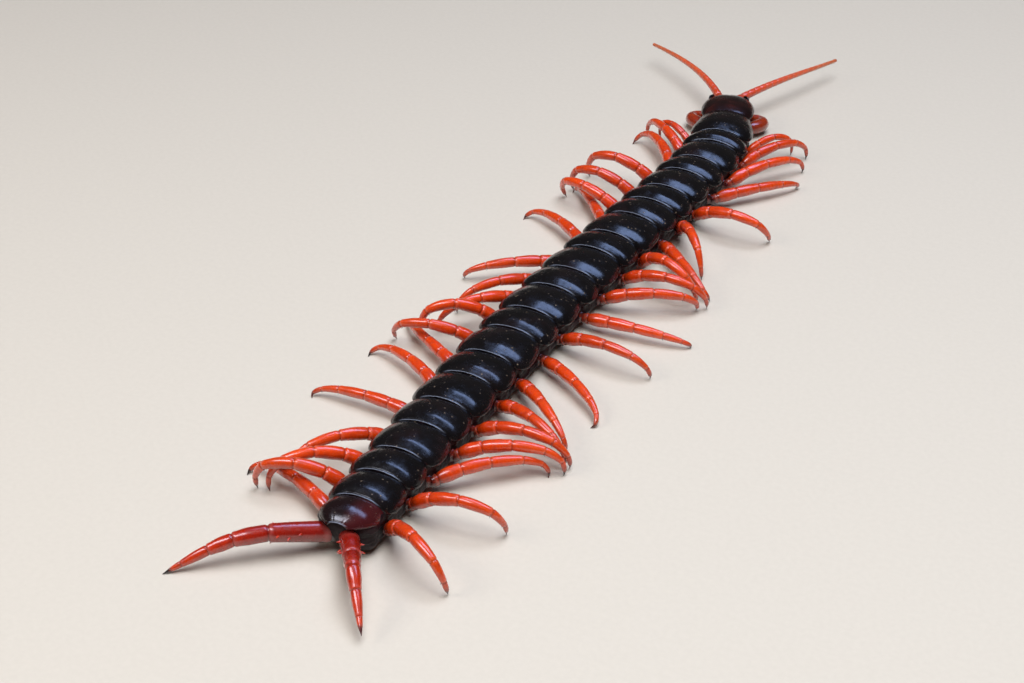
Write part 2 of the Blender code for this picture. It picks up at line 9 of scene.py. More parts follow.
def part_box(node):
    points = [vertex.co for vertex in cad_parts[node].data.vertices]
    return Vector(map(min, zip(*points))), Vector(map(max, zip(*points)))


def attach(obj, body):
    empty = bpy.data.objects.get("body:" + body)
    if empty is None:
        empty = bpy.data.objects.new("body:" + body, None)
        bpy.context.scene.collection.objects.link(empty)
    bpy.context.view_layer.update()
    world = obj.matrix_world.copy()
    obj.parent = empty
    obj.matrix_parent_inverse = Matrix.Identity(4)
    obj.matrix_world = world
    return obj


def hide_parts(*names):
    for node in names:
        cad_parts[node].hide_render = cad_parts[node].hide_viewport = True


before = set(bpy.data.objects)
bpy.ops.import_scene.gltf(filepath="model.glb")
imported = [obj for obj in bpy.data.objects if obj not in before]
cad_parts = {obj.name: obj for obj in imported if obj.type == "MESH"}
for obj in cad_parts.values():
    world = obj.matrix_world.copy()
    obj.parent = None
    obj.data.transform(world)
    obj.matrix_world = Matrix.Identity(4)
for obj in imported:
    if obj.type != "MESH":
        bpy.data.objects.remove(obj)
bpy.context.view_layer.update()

# Hide: the soft leathery skin of the trunk between the hard plates, with a swelling at
# each leg and folds where two lengths of the trunk meet. It is one closed skin from the
# tail to the neck, made of rings along the line that the trunk follows over the floor.
MM = 0.001
PLATES = (11.6, 6.2, 9.6, 7.8, 9.4, 7.6, 8.2, 10.0, 8.2, 10.2, 8.4,
          10.4, 8.6, 10.4, 8.8, 10.0, 8.8, 9.4, 7.9, 8.3, 8.6)
TRUNK = sum(PLATES)
HEAD = 12.6
WHOLE = TRUNK + HEAD
TAIL = (1.550, -109.167)
# By share of the way from the tail to the head: the trunk's turn to the left, and its width
BENDS = ((0.0, 3.0), (0.2, 0.7), (0.4, -1.1), (0.6, -5.8), (0.8, -3.4), (0.9, 11.6), (1.0, 20.0))
WIDTHS = ((0.0, 12.4), (0.05, 13.6), (0.15, 15.0), (0.35, 16.4), (0.65, 16.9), (0.85, 16.0), (0.94, 14.4))
HIDE_START = 1.7
HIDE_ROUNDING = 3.4
HIDE_END = TRUNK + 1.6
HIDE_STEP = 0.36
SECTION_STEPS = 6  # points from one guide point of a section to the next
HIDE_MIDDLE_Z = 4.9
HIDE_SWELLING = (0.30, 0.20)  # place and width along a plate
HIDE_FOLD = 0.08
# Points down one side of the skin's section: share of the half width, its part of the
# swelling and of the fold, then height and its part of the fold
HIDE_SECTION = (
    (0.0, 0.0, 0.0, 1.08, 0.0), (0.50, 0.0, 0.0, 1.08, 0.1), (0.72, 0.0, 0.0, 1.30, 0.3),
    (0.83, 0.04, -0.05, 2.2, 0.0), (0.85, 0.07, -0.08, 3.3, 0.0), (0.84, 0.05, -0.08, 4.4, 0.0),
    (0.88, 0.0, -0.07, 5.2, 0.0), (0.90, 0.0, -0.08, 5.9, 0.0), (0.78, 0.0, -0.04, 7.1, -0.2),
    (0.42, 0.0, 0.0, 8.55, -0.2), (0.0, 0.0, 0.0, 8.95, -0.2),
)
HIDE_CREASES = ((0.20, (0.9, 3.2, 0.55), 0.0), (0.14, (3.0, 0.65, 1.8), 7.0), (0.07, (0.45, 0.6, 0.45), 3.0))
CREASE_SINK = 0.05
CREASED_FROM_Z = 1.2
CREASED_TO_Z = 6.4
NECK_START = TRUNK - 0.8
NECK_RUN = 2.4
NECK_SQUEEZE = 0.22


def heading(station):
    shares, degrees = zip(*BENDS)
    return np.interp(np.asarray(station, float) / WHOLE, shares, degrees)


def trunk_path(step=0.1, spare=20.0):
    stations = np.arange(-spare, WHOLE + spare, step)
    turns = np.radians(heading(stations))
    xs = np.cumsum(-np.sin(turns)) * step
    ys = np.cumsum(np.cos(turns)) * step
    start = np.searchsorted(stations, 0.0)
    return stations, xs - xs[start] + TAIL[0], ys - ys[start] + TAIL[1]


PATH = trunk_path()


def on_trunk(station, right, height):
    """Points from their station, distance to the right of the trunk's line, and height."""
    station, right, height = np.broadcast_arrays(
        np.asarray(station, float), np.asarray(right, float), np.asarray(height, float))
    turn = np.radians(heading(station))
    x = np.interp(station, PATH[0], PATH[1]) + right * np.cos(turn)
    y = np.interp(station, PATH[0], PATH[2]) + right * np.sin(turn)
    return np.stack([x, y, height], axis=-1)


def half_width(station):
    shares, widths = zip(*WIDTHS)
    return np.interp(np.asarray(station, float) / WHOLE, shares, widths) / 2


def plate_rear(number):
    return sum(PLATES[number:])


REARS = np.array([plate_rear(number) for number in range(1, len(PLATES) + 1)])[::-1]
LENGTHS = np.array(PLATES)[::-1]


def plate_share(station):
    """How far along its back plate a station lies, from 0 at the rear edge to 1."""
    station = np.asarray(station, float)
    i = np.clip(np.searchsorted(REARS, station, side="right") - 1, 0, len(REARS) - 1)
    return np.clip((station - REARS[i]) / LENGTHS[i], 0.0, 1.0)


def through(guides, between):
    """Points on a smooth curve through guide points, an array with those on its first axis."""
    first = 2 * guides[0] - guides[1]
    last = 2 * guides[-1] - guides[-2]
    held = np.concatenate([first[None], guides, last[None]])
    t = (np.arange(between) / between).reshape((-1,) + (1,) * (guides.ndim - 1))
    parts = []
    for a, b, c, d in zip(held, held[1:], held[2:], held[3:]):
        parts.append(0.5 * (2 * b + (c - a) * t + (2 * a - 5 * b + 4 * c - d) * t**2
                            + (3 * b - a - 3 * c + d) * t**3))
    return np.concatenate(parts + [guides[-1][None]])


def grain(points, spacing, seed=0.0):
    """Smooth noise from -1 to 1 at each point, with bumps about as far apart as spacing."""
    scale = np.asarray(spacing, float) * np.ones(3)
    shifted = points.reshape(-1, 3) / scale + seed
    values = [noise.noise(Vector(p)) for p in shifted]
    return np.array(values).reshape(points.shape[:-1])


def section_rings(stations, guides, between, middle, squeeze):
    """Rings round the trunk's line from guide points down their right side, drawn in by squeeze."""
    right = through(np.array([[x, z] for x, z in guides]), between)
    loop = np.concatenate([right, right[-2:0:-1] * np.array([-1.0, 1.0])[None, :, None]])
    heights = middle + (loop[:, 1] - middle) * squeeze
    return on_trunk(stations[:, None], (loop[:, 0] * squeeze).T, heights.T)


def in_scene(name, data):
    """A new object of the scene, at the origin."""
    body = bpy.data.objects.new(name, data)
    bpy.context.scene.collection.objects.link(body)
    return body


def finish_piece(name, mesh, material):
    """Makes a closed mesh a smooth piece of one material, its faces outwards."""
    mesh.materials.clear()
    mesh.materials.append(material)
    closed = bmesh.new()
    closed.from_mesh(mesh)
    bmesh.ops.recalc_face_normals(closed, faces=closed.faces[:])
    closed.to_mesh(mesh)
    closed.free()
    for face in mesh.polygons:
        face.use_smooth = True
        face.material_index = 0
    body = in_scene(name, mesh)
    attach(body, "root")
    return body


def make_piece(name, points, faces, material):
    """A piece from points in millimetres, with its place in its mesh."""
    mesh = bpy.data.meshes.new(name)
    mesh.from_pydata((np.asarray(points).reshape(-1, 3) * MM).tolist(), [], faces)
    return finish_piece(name, mesh, material)


def tube_faces(rings, around, first=0):
    """Faces between rings of equally many points, with both ends closed."""
    faces = []
    for r in range(rings - 1):
        for i in range(around):
            j = (i + 1) % around
            a, b = first + r * around, first + (r + 1) * around
            faces.append((a + i, a + j, b + j, b + i))
    faces.append(tuple(first + i for i in reversed(range(around))))
    faces.append(tuple(first + (rings - 1) * around + i for i in range(around)))
    return faces


def ring_piece(name, rings, material):
    """A closed piece from rings of points."""
    return make_piece(name, rings, tube_faces(*rings.shape[:2]), material)


def push_out(rings, amount):
    """Moves the points of closed rings along their own outward normals."""
    round_way = np.roll(rings, -1, axis=1) - np.roll(rings, 1, axis=1)
    long_way = np.gradient(rings, axis=0)
    out = np.cross(round_way, long_way)
    out /= np.maximum(np.linalg.norm(out, axis=2, keepdims=True), 1e-9)
    outward = rings - rings.mean(axis=1, keepdims=True)
    out *= np.where((out * outward).sum(axis=2).mean() < 0, -1.0, 1.0)
    return rings + out * amount[..., None]


def linear(hexa):
    """The linear colour of an sRGB hex value such as 'C83A16'."""
    parts = [int(hexa[i:i + 2], 16) / 255 for i in (0, 2, 4)]
    return tuple(c / 12.92 if c <= 0.04045 else ((c + 0.055) / 1.055) ** 2.4 for c in parts) + (1.0,)


def add(tree, kind, settings=(), values=(), links=()):
    """Adds a node with its settings, the values of its inputs, and links into them."""
    node = tree.nodes.new(kind)
    for key, value in dict(settings).items():
        setattr(node, key, value)
    for key, value in dict(values).items():
        node.inputs[key].default_value = value
    for key, socket in dict(links).items():
        tree.links.new(socket, node.inputs[key])
    return node


def colour_steps(ramp, stops):
    """Sets the stops of a colour ramp from places and hex colours."""
    elements = ramp.color_ramp.elements
    while len(elements) > 1:
        elements.remove(elements[-1])
    elements[0].position = stops[0][0]
    elements[0].color = linear(stops[0][1])
    for place, hexa in stops[1:]:
        elements.new(place).color = linear(hexa)


def new_finish(name):
    """An empty material, its tree, and the place on the piece."""
    material = bpy.data.materials.new(name)
    material.use_nodes = True
    material.node_tree.nodes.clear()
    coords = add(material.node_tree, "ShaderNodeTexCoord")
    return material, material.node_tree, coords.outputs["Object"]


def marks(tree, place, scale, detail, roughness=0.5):
    """Noise from 0 to 1, with as many marks per metre as scale says."""
    noisy = add(tree, "ShaderNodeTexNoise", links={"Vector": place},
                values={"Scale": scale, "Detail": detail, "Roughness": roughness})
    return noisy.outputs["Fac"]


def specks(tree, place, scale):
    """Distance from the nearest of scattered spots, in parts of their spacing."""
    cells = add(tree, "ShaderNodeTexVoronoi", values={"Scale": scale}, links={"Vector": place})
    return cells.outputs["Distance"]


def spread(tree, value, low, high, start=0.0, end=1.0):
    """A value that runs from low to high where another runs from start to end."""
    mapped = add(tree, "ShaderNodeMapRange", links={"Value": value},
                 values={"From Min": start, "From Max": end, "To Min": low, "To Max": high})
    return mapped.outputs["Result"]


def tinged(tree, below, hexa, share):
    """A colour with a share of another over it."""
    mix = add(tree, "ShaderNodeMix", settings={"data_type": "RGBA"}, values={7: linear(hexa)},
              links={0: share, 6: below})
    return mix.outputs[2]


def point_values(tree, key):
    """The values that the points of a piece carry under a name."""
    return add(tree, "ShaderNodeAttribute", settings={"attribute_name": key}).outputs["Fac"]


def bumps(tree, height, strength, distance, **more):
    """Small relief, up to a distance in metres."""
    relief = add(tree, "ShaderNodeBump", values={"Strength": strength, "Distance": distance},
                 links={"Height": height, **more})
    return relief.outputs["Normal"]


def clouded_finish(name, scale, detail, stops):
    """Starts a material whose colour wanders between stops with soft clouds."""
    material, tree, place = new_finish(name)
    clouds = marks(tree, place, scale, detail)
    tint = add(tree, "ShaderNodeValToRGB", links={"Fac": clouds})
    colour_steps(tint, stops)
    return material, tree, place, clouds, tint.outputs["Color"]


def end_finish(tree, values, links):
    """Ends a material with its surface."""
    shader = add(tree, "ShaderNodeBsdfPrincipled", values=values, links=links)
    add(tree, "ShaderNodeOutputMaterial", links={"Surface": shader.outputs["BSDF"]})


# Side skin of a centipede: thin, tough and leathery, finely creased, a dark red-brown
# that looks nearly black in the folds, with a low sheen. A pattern's scale is in marks
# per metre here and below: clouds 4 mm apart, and creases 0.7 mm apart.
hide_skin, tree, place, _, tint = clouded_finish(
    "side_skin_leathery", 260.0, 5.0, ((0.30, "0A0506"), (0.52, "160A0E"), (0.72, "281118")))
creases = marks(tree, place, 1500.0, 6.0, 0.65)
end_finish(tree, {"IOR": 1.5, "Specular IOR Level": 0.28},
           {"Base Color": tint, "Roughness": spread(tree, creases, 0.34, 0.62),
            "Normal": bumps(tree, creases, 0.6, 0.00022)})

stations = np.arange(HIDE_START, HIDE_END, HIDE_STEP)
share = plate_share(stations)
half = half_width(stations)
swelling = np.exp(-((share - HIDE_SWELLING[0]) / HIDE_SWELLING[1]) ** 2)
fold = np.exp(-(share / HIDE_FOLD) ** 2) + np.exp(-((1 - share) / HIDE_FOLD) ** 2)
guides = [((out + swell * swelling + tuck * fold) * half, z + lift * fold)
          for out, swell, tuck, z, lift in HIDE_SECTION]
into_end = ((HIDE_START + HIDE_ROUNDING - stations) / HIDE_ROUNDING).clip(0)
rounding = np.sqrt(np.clip(1 - into_end ** 2, 0.02, 1))
neck = 1 - NECK_SQUEEZE * ((stations - NECK_START) / NECK_RUN).clip(0, 1)
rings = section_rings(stations, guides, SECTION_STEPS, HIDE_MIDDLE_Z, rounding * neck)
level = rings[..., 2]
creased = np.clip((level - CREASED_FROM_Z) / 0.8, 0, 1) * np.clip((CREASED_TO_Z - level) / 0.6, 0, 1)
wrinkles = sum(depth * grain(rings, spacing, seed) for depth, spacing, seed in HIDE_CREASES)
rings = push_out(rings, creased * (wrinkles - CREASE_SINK))
trunk_hide = ring_piece("trunk_hide", rings, hide_skin)
TRUNK_NODES = [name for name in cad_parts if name.startswith("trunk_")]
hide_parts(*TRUNK_NODES)

# Back plates: twenty-one hard plates of black chitin, each lying over the front of the
# next one towards the tail. Each has a raised rim round its sides and rear with a
# groove inside it, two fine grooves along it, and a rear edge that slopes down.
PLATE_THICK = 0.26
# By share of a plate's length from its rear edge: how far its back rises over BACK_Z, and its
# width to the trunk's
PLATE_RISE = ((0.0, -0.62), (0.04, -0.50), (0.10, -0.31), (0.17, -0.08), (0.24, 0.12), (0.32, 0.19),
              (0.44, 0.20), (0.58, 0.14), (0.72, -0.08), (0.86, -0.42), (1.0, -0.85), (1.13, -1.1))
PLATE_WIDTH = ((0.0, 0.72), (0.02, 0.79), (0.06, 0.87), (0.12, 0.93), (0.22, 0.98), (0.36, 1.0),
               (0.50, 0.99), (0.65, 0.96), (0.80, 0.91), (0.92, 0.86), (1.0, 0.82), (1.13, 0.74))
PLATE_UNDERCUT = 0.34  # how far its rear face leans in under the edge
PLATE_ROWS = 40
PLATE_COLUMNS = 55
PLATE_CROWDING = 1.35  # how much closer its rows lie towards the rear edge
PLATE_REACH = 1.13  # how far a plate runs in under the one ahead
PLATE_WAVES = ((0.055, 3.4), (0.018, 1.1))  # height and spacing
MARGIN_Z = 5.95
BACK_Z = 9.6
CROWN_POWER = 2.1
CROWN_FULLNESS = 0.60
RIM_RAISED = 0.07
RIM_PLACE = 0.11
RIM_WIDE = 0.08
RIM_GROOVE = 0.07
GROOVE_PLACE = 0.29
GROOVE_WIDE = 0.07
RIM_HIGHLIGHT_WIDE = 0.065  # width of the painted highlight line along the rim of the rear edge
RIM_HIGHLIGHT_SHARE = 0.86  # share of the half width where it fades
PAIR_GROOVE_SHARE = 0.34
PAIR_GROOVE_DEPTH = 0.05
PAIR_GROOVE_WIDE = 0.11
EDGE_BLEND = 0.16  # how softly the rim turns from a side to the rear
SIDE_SLOPE = 2.4  # the way down a plate's side to its way across


def even_curve(table, places):
    """Values of a table at given places, on a smooth curve through its points."""
    xs, ys = (np.array(column, float) for column in zip(*table))
    slopes = np.gradient(ys, xs)
    i = np.clip(np.searchsorted(xs, places, side="right") - 1, 0, len(xs) - 2)
    run = xs[i + 1] - xs[i]
    t = np.clip((places - xs[i]) / run, 0, 1)
    return ((2 * t**3 - 3 * t**2 + 1) * ys[i] + (t**3 - 2 * t**2 + t) * run * slopes[i]
            + (3 * t**2 - 2 * t**3) * ys[i + 1] + (t**3 - t**2) * run * slopes[i + 1])


def slab_faces(rows, columns, first=0):
    """Faces of a closed slab: its upper grid, its lower grid, and the edge between."""
    faces = []
    lower = first + rows * columns

    def at(base, r, c):
        return base + r * columns + c

    for r in range(rows - 1):
        for c in range(columns - 1):
            faces.append((at(first, r, c), at(first, r, c + 1), at(first, r + 1, c + 1), at(first, r + 1, c)))
            faces.append((at(lower, r + 1, c), at(lower, r + 1, c + 1), at(lower, r, c + 1), at(lower, r, c)))
    rim = [(0, c) for c in range(columns)] + [(r, columns - 1) for r in range(1, rows)]
    rim += [(rows - 1, c) for c in range(columns - 2, -1, -1)] + [(r, 0) for r in range(rows - 2, 0, -1)]
    for (r, c), (s, d) in zip(rim, rim[1:] + rim[:1]):
        faces.append((at(first, s, d), at(first, r, c), at(lower, r, c), at(lower, s, d)))
    return faces


def side_to_side(count):
    """Places from -1 at the left edge to 1 at the right, closer together at the edges."""
    return np.sin(np.linspace(-math.pi / 2, math.pi / 2, count))


def to_edge(from_end, from_side, blend):
    """Distance to the nearer of two edges, rounded where they meet."""
    return -blend * np.log(np.exp(-from_end / blend) + np.exp(-from_side / blend))


def paint(body, **values):
    """Gives the points of a piece named attributes, each a single value or one a point."""
    count = len(body.data.vertices)
    for key, value in values.items():
        store = body.data.attributes.new(key, "FLOAT", "POINT")
        store.data.foreach_set("value", (np.zeros(count) + value).astype(np.float32))


def rim_relief(from_edge):
    """The raised rim of a plate and the groove inside it, by distance from the edge."""
    return (RIM_RAISED * np.exp(-((from_edge - RIM_PLACE) / RIM_WIDE) ** 2)
            - RIM_GROOVE * np.exp(-((from_edge - GROOVE_PLACE) / GROOVE_WIDE) ** 2))


def plate_points(rear, length, reach, widths, rises, margins, seed):
    """Upper and lower points of one back plate, and how much painted highlight its rim line gets at each."""
    along = reach * (np.linspace(0, 1, PLATE_ROWS) ** PLATE_CROWDING)[:, None]
    across = side_to_side(PLATE_COLUMNS)[None, :]
    station = rear + along * length
    half = half_width(station) * even_curve(widths, along)
    margin = even_curve(margins, along)
    crown = (1 - np.abs(across) ** CROWN_POWER) ** CROWN_FULLNESS
    height = margin + (BACK_Z + even_curve(rises, along) - margin) * crown
    from_rear = along * length + 0 * across
    from_edge = to_edge(from_rear, (1 - np.abs(across)) * half * SIDE_SLOPE, EDGE_BLEND)
    height = height + rim_relief(from_edge) * np.clip((1.04 - along) / 0.1, 0, 1)
    off_groove = (np.abs(across) - PAIR_GROOVE_SHARE) * half / PAIR_GROOVE_WIDE
    height = height - PAIR_GROOVE_DEPTH * np.exp(-off_groove**2)
    upper = on_trunk(station, across * half, height)
    waves = sum(rise * grain(upper, spacing, seed) for rise, spacing in PLATE_WAVES)
    upper[..., 2] += waves
    below = station + PLATE_UNDERCUT * np.exp(-from_rear / 0.5)
    lower = on_trunk(below, across * (half - PLATE_THICK * 0.7), upper[..., 2] - PLATE_THICK)
    # painted highlight: a line just inside the rear rim, fading towards the sides
    worn = np.exp(-((from_rear - RIM_PLACE) / RIM_HIGHLIGHT_WIDE) ** 2)
    worn = worn * np.clip((RIM_HIGHLIGHT_SHARE - np.abs(across)) / 0.2, 0, 1)
    return upper, lower, worn


# Chitin of the back plates: hard cuticle with a waxy polish, black with a trace of brown.
# The sky shows in it as soft bands. Pits and a little dust break the polish, drawn coarser
# than life, 0.7 and 1 mm apart, so that they show. A pale bluish line painted along each
# rear rim is a painted highlight. The last plate has a tinge of wine red.
back_chitin, tree, place, _, tint = clouded_finish(
    "back_plate_chitin_polished", 170.0, 4.0, ((0.30, "070608"), (0.55, "0D0A0C"), (0.75, "191012")))
smears = marks(tree, place, 620.0, 5.0, 0.6)
pits = spread(tree, specks(tree, place, 1500.0), 0.0, 1.0, end=0.28)
dust = add(tree, "ShaderNodeMath", settings={"operation": "MULTIPLY"},
           links={0: spread(tree, specks(tree, place, 1050.0), 0.85, 0.0, 0.06, 0.20),
                  1: spread(tree, smears, 0.0, 1.0, 0.50, 0.60)}).outputs["Value"]
dulled = add(tree, "ShaderNodeMath", settings={"operation": "ADD", "use_clamp": True},
             links={0: spread(tree, smears, 0.17, 0.33, 0.35, 0.7), 1: dust})
tint = tinged(tree, tint, "481418", point_values(tree, "wine"))
tint = tinged(tree, tint, "8E7C68", dust)
# painted highlight: a pale bluish line along the rim of each rear edge
tint = tinged(tree, tint, "8A94AA", point_values(tree, "worn"))
pitted = bumps(tree, pits, 0.22, 0.00006)
end_finish(tree, {"IOR": 1.5, "Coat Weight": 0.2, "Coat Roughness": 0.14},
           {"Base Color": tint, "Roughness": dulled.outputs["Value"],
            "Normal": bumps(tree, smears, 0.3, 0.00012, Normal=pitted)})

PLATE_MARGINS = ((0.0, 6.5), (0.08, 6.15), (0.2, MARGIN_Z), (0.8, MARGIN_Z), (1.0, 6.2), (1.13, 6.3))
LAST_PLATE = dict(
    widths=((0.0, 0.30), (0.05, 0.42), (0.14, 0.56), (0.30, 0.74), (0.52, 0.86), (0.76, 0.86),
            (0.94, 0.82), (1.13, 0.74)),
    rises=((0.0, -1.5), (0.10, -0.95), (0.25, -0.35), (0.42, 0.02), (0.60, 0.10), (0.78, -0.15),
           (1.0, -0.80), (1.13, -1.1)),
    margins=((0.0, 7.3), (0.15, 7.1), (0.4, 6.7), (0.7, 6.2), (1.0, 6.2), (1.13, 6.3)),
)
LAST_PLATE_REAR = 0.9
FIRST_PLATE_REACH = 1.02
# strength of the painted highlight line along the rear rims
RIM_HIGHLIGHT_STRENGTH = 0.8
WINE_LEFT = 0.08
WINE_RIGHT = 0.62  # what the right side has more of it
points, faces, rim_highlight_lines = [], [], []
for number in range(1, len(PLATES) + 1):
    if number == len(PLATES):
        rear, length, forms = LAST_PLATE_REAR, PLATES[-1] - LAST_PLATE_REAR, LAST_PLATE
    else:
        rear, length = plate_rear(number), PLATES[number - 1]
        forms = dict(widths=PLATE_WIDTH, rises=PLATE_RISE, margins=PLATE_MARGINS)
    reach = FIRST_PLATE_REACH if number == 1 else PLATE_REACH
    upper, lower, worn_rim = plate_points(rear, length, reach, seed=number * 1.7, **forms)
    faces += slab_faces(PLATE_ROWS, PLATE_COLUMNS, first=len(points) * PLATE_ROWS * PLATE_COLUMNS)
    points += [upper, lower]
    rim_highlight_lines += [worn_rim, 0 * worn_rim]
back_plates = make_piece("back_plates", np.array(points), faces, back_chitin)
wine_tinge = np.zeros((len(PLATES), 2, PLATE_ROWS, PLATE_COLUMNS))
wine_tinge[-1] = WINE_LEFT + WINE_RIGHT * np.clip((side_to_side(PLATE_COLUMNS) - 0.05) / 0.6, 0, 1)
# the painted rim highlight line is handed to the material here
paint(back_plates, wine=wine_tinge.ravel(), worn=RIM_HIGHLIGHT_STRENGTH * np.array(rim_highlight_lines).ravel())

# Belly plates: a flatter plate of brown chitin under each length of the trunk, with two
# grooves along it. They are out of sight from above and are seen when the model is lifted.
BELLY_SHARE = 0.55
BELLY_THICK = 0.3
BELLY_LOW_Z = 0.82
BELLY_ROWS = 16
BELLY_COLUMNS = 33
BELLY_CORNER = 0.16  # how much narrower a plate is at its corners
BELLY_GROOVE = (0.42, 0.13, 0.10)  # share of the half width, width, depth
LAST_BELLY_START = 5.0
LAST_BELLY_NARROWING = 0.62
# Chitin of the belly: thinner and browner than the back, satin, with a grain of 0.6 mm.
belly_chitin, tree, place, clouds, tint = clouded_finish(
    "belly_plate_chitin_satin", 240.0, 5.0, ((0.30, "2A130D"), (0.55, "472012"), (0.75, "5E2C17")))
fine = marks(tree, place, 1800.0, 3.0)
end_finish(tree, {"IOR": 1.56}, {"Base Color": tint, "Roughness": spread(tree, clouds, 0.24, 0.44),
                                 "Normal": bumps(tree, fine, 0.25, 0.0001)})

points, faces = [], []
for number in range(1, len(PLATES) + 1):
    rear, length = plate_rear(number), PLATES[number - 1]
    narrowing = LAST_BELLY_NARROWING if number == len(PLATES) else 1.0
    start = LAST_BELLY_START if number == len(PLATES) else rear + 0.05 * length
    end = rear + 0.97 * length
    along = np.linspace(0, 1, BELLY_ROWS)[:, None]
    across = np.linspace(-1, 1, BELLY_COLUMNS)[None, :]
    station = start + along * (end - start)
    corner = 1 - BELLY_CORNER * np.exp(-along / 0.10) - BELLY_CORNER * np.exp(-(1 - along) / 0.10)
    half = half_width(station) * BELLY_SHARE * corner * narrowing
    edge = np.minimum(np.minimum(along, 1 - along) * (end - start), (1 - np.abs(across)) * half)
    groove_share, groove_wide, groove_deep = BELLY_GROOVE
    belly_grooves = np.exp(-((np.abs(across) - groove_share) * half / groove_wide) ** 2)
    low = BELLY_LOW_Z + 0.16 * np.exp(-edge / 0.30) + groove_deep * belly_grooves
    under = on_trunk(station, across * half, low)
    top = on_trunk(station, across * half * 0.96, low + BELLY_THICK)
    faces += slab_faces(BELLY_ROWS, BELLY_COLUMNS, first=len(points) * BELLY_ROWS * BELLY_COLUMNS)
    points += [top, under]
belly_plates = make_piece("belly_plates", np.array(points), faces, belly_chitin)

# Breathing holes: a small upright slit in the side skin above some of the legs, with a
# raised lip of dark chitin round it.
HOLE_PLATES = (3, 5, 8, 10, 12, 14, 16, 18, 20)
HOLE_SHARE = 0.42  # place along the plate
HOLE_Z = 4.9
HOLE_OUT = 0.885  # share of the half width
HOLE_HALF = (0.42, 0.26)
HOLE_LIP = 0.09
HOLE_AROUND = 20
LIP_AROUND = 8
turns = np.linspace(0, math.tau, HOLE_AROUND, endpoint=False)[:, None]
lip_turns = np.linspace(0, math.tau, LIP_AROUND, endpoint=False)[None, :]
points, faces = [], []
for number in HOLE_PLATES:
    station = plate_rear(number) + HOLE_SHARE * PLATES[number - 1]
    for side in (1, -1):
        middle_side = side * float(half_width(station)) * HOLE_OUT
        outward = 1 + HOLE_LIP / HOLE_HALF[1] * np.cos(lip_turns)
        along = station + HOLE_HALF[0] * np.cos(turns) * outward
        height = HOLE_Z + HOLE_HALF[1] * np.sin(turns) * outward
        rings = on_trunk(along, middle_side + side * HOLE_LIP * np.sin(lip_turns), height)
        first = len(points) * HOLE_AROUND * LIP_AROUND
        for i in range(HOLE_AROUND):
            for j in range(LIP_AROUND):
                a, b = i * LIP_AROUND, (i + 1) % HOLE_AROUND * LIP_AROUND
                k = (j + 1) % LIP_AROUND
                faces.append((first + a + j, first + a + k, first + b + k, first + b + j))
        points.append(rings)
hole_lips = make_piece("breathing_hole_lips", np.array(points), faces, belly_chitin)

# Walking legs: twenty pairs of jointed legs of orange chitin, each a thigh, femur, shin and
# two foot joints with a dark claw. A leg leaves the trunk's side by a dark root: its own dark
# colour, deepened by painted shade under the plates. At each joint a fine pale ring, soft skin
# and partly a painted highlight, is followed by a crease of painted shade. Each stands on the
# floor by its claw.
LEG_PLACE = 0.10
LEG_ROOT_Z = 2.6
BASE_LOW_Z = 1.3
BASE_TOP_Z = 4.5
BASE_LOW_SHARE = 0.80
BASE_TOP_SHARE = 0.88
JOIN_GAP = 0.3
LEG_LENGTHS = ((1, 18.0), (2, 24.0), (3, 26.0), (8, 25.0), (18, 25.0), (20, 26.0))
LEG_FULL = 24.4
LEG_SIDES = 16
LEG_STRAIGHTNESS = 0.35  # how far each joint is drawn towards a straight piece
LEG_ROOT_SHARES = (-0.06, -0.045, -0.03, -0.015, -0.004)
FOOT_Z = 0.05
SPURS = ((0.705, 0.55), (0.866, 0.42))  # place along the leg and length
SPUR_SPREAD = 0.5
SPUR_SLIMNESS = 0.16
SPUR_SIDES = 6
JOINT_STEPS = (0.0, 0.02, 0.05, 0.10, 0.18, 0.30, 0.45, 0.60, 0.74, 0.85, 0.92, 0.965, 0.99)
LEG_JOINTS = (0.0, 0.045, 0.235, 0.46, 0.71, 0.87, 0.955, 1.0)
# By share of the leg's length: its radius
LEG_GIRTHS = ((-0.06, 1.50), (-0.02, 1.42), (0.0, 1.18), (0.05, 1.16), (0.13, 1.38), (0.235, 1.22),
              (0.34, 1.24), (0.46, 1.04), (0.58, 1.02), (0.71, 0.80), (0.80, 0.68), (0.87, 0.52),
              (0.955, 0.33), (0.97, 0.20), (1.0, 0.05))
LEG_BOW = 1.5
SIDES = ((1, "right"), (-1, "left"))
# Legs 1 to 20 by side: the swing of each foot towards the head from straight out, in degrees,
# its reach from the root, and how far a leg's arch bows to the tail side where it isn't LEG_BOW
STANCE = {
    1: ((40, 51, 59, 57, 6, -48, -35, -15, 7, 30, 10, -4, -40, -40, -27, 0, 17, 37, 7, -31),
        (12.5, 19.5, 22.5, 23.5, 18.0, 18.5, 22.0, 16.5, 19.0, 20.0,
         23.0, 20.5, 22.5, 21.5, 20.5, 19.5, 20.5, 22.0, 18.0, 18.5),
        {1: 0.5, 2: 0.0, 3: 0.0, 5: 3.5, 6: 0.5, 8: 2.5, 9: 2.0, 10: 2.5, 13: -2.0, 14: 0.5,
         15: 0.5, 16: 1.0, 17: 0.0, 18: -1.0, 19: 2.5}),
    -1: ((40, 45, 40, 2, 5, 17, 42, 21, -36, -54, -49, -28, -8, 38, 22, 0, -49, -39, -12, 19),
         (12.5, 19.5, 22.0, 18.0, 18.0, 18.5, 23.5, 22.0, 22.0, 20.0,
          19.0, 16.5, 18.5, 23.0, 22.0, 23.0, 20.0, 19.0, 18.0, 23.0),
         {1: 0.5, 2: 0.0, 3: -2.5, 6: 2.5, 7: -1.0, 8: -2.5, 10: 1.0, 11: 2.0, 13: 2.5, 15: -2.5,
          16: -1.5, 17: 0.0, 18: -0.5, 20: -2.5}),
}
PALE_SKIN_AND_HIGHLIGHT = 0.32  # how far a pale ring takes on its pale colour: soft skin, at the joints partly a painted highlight
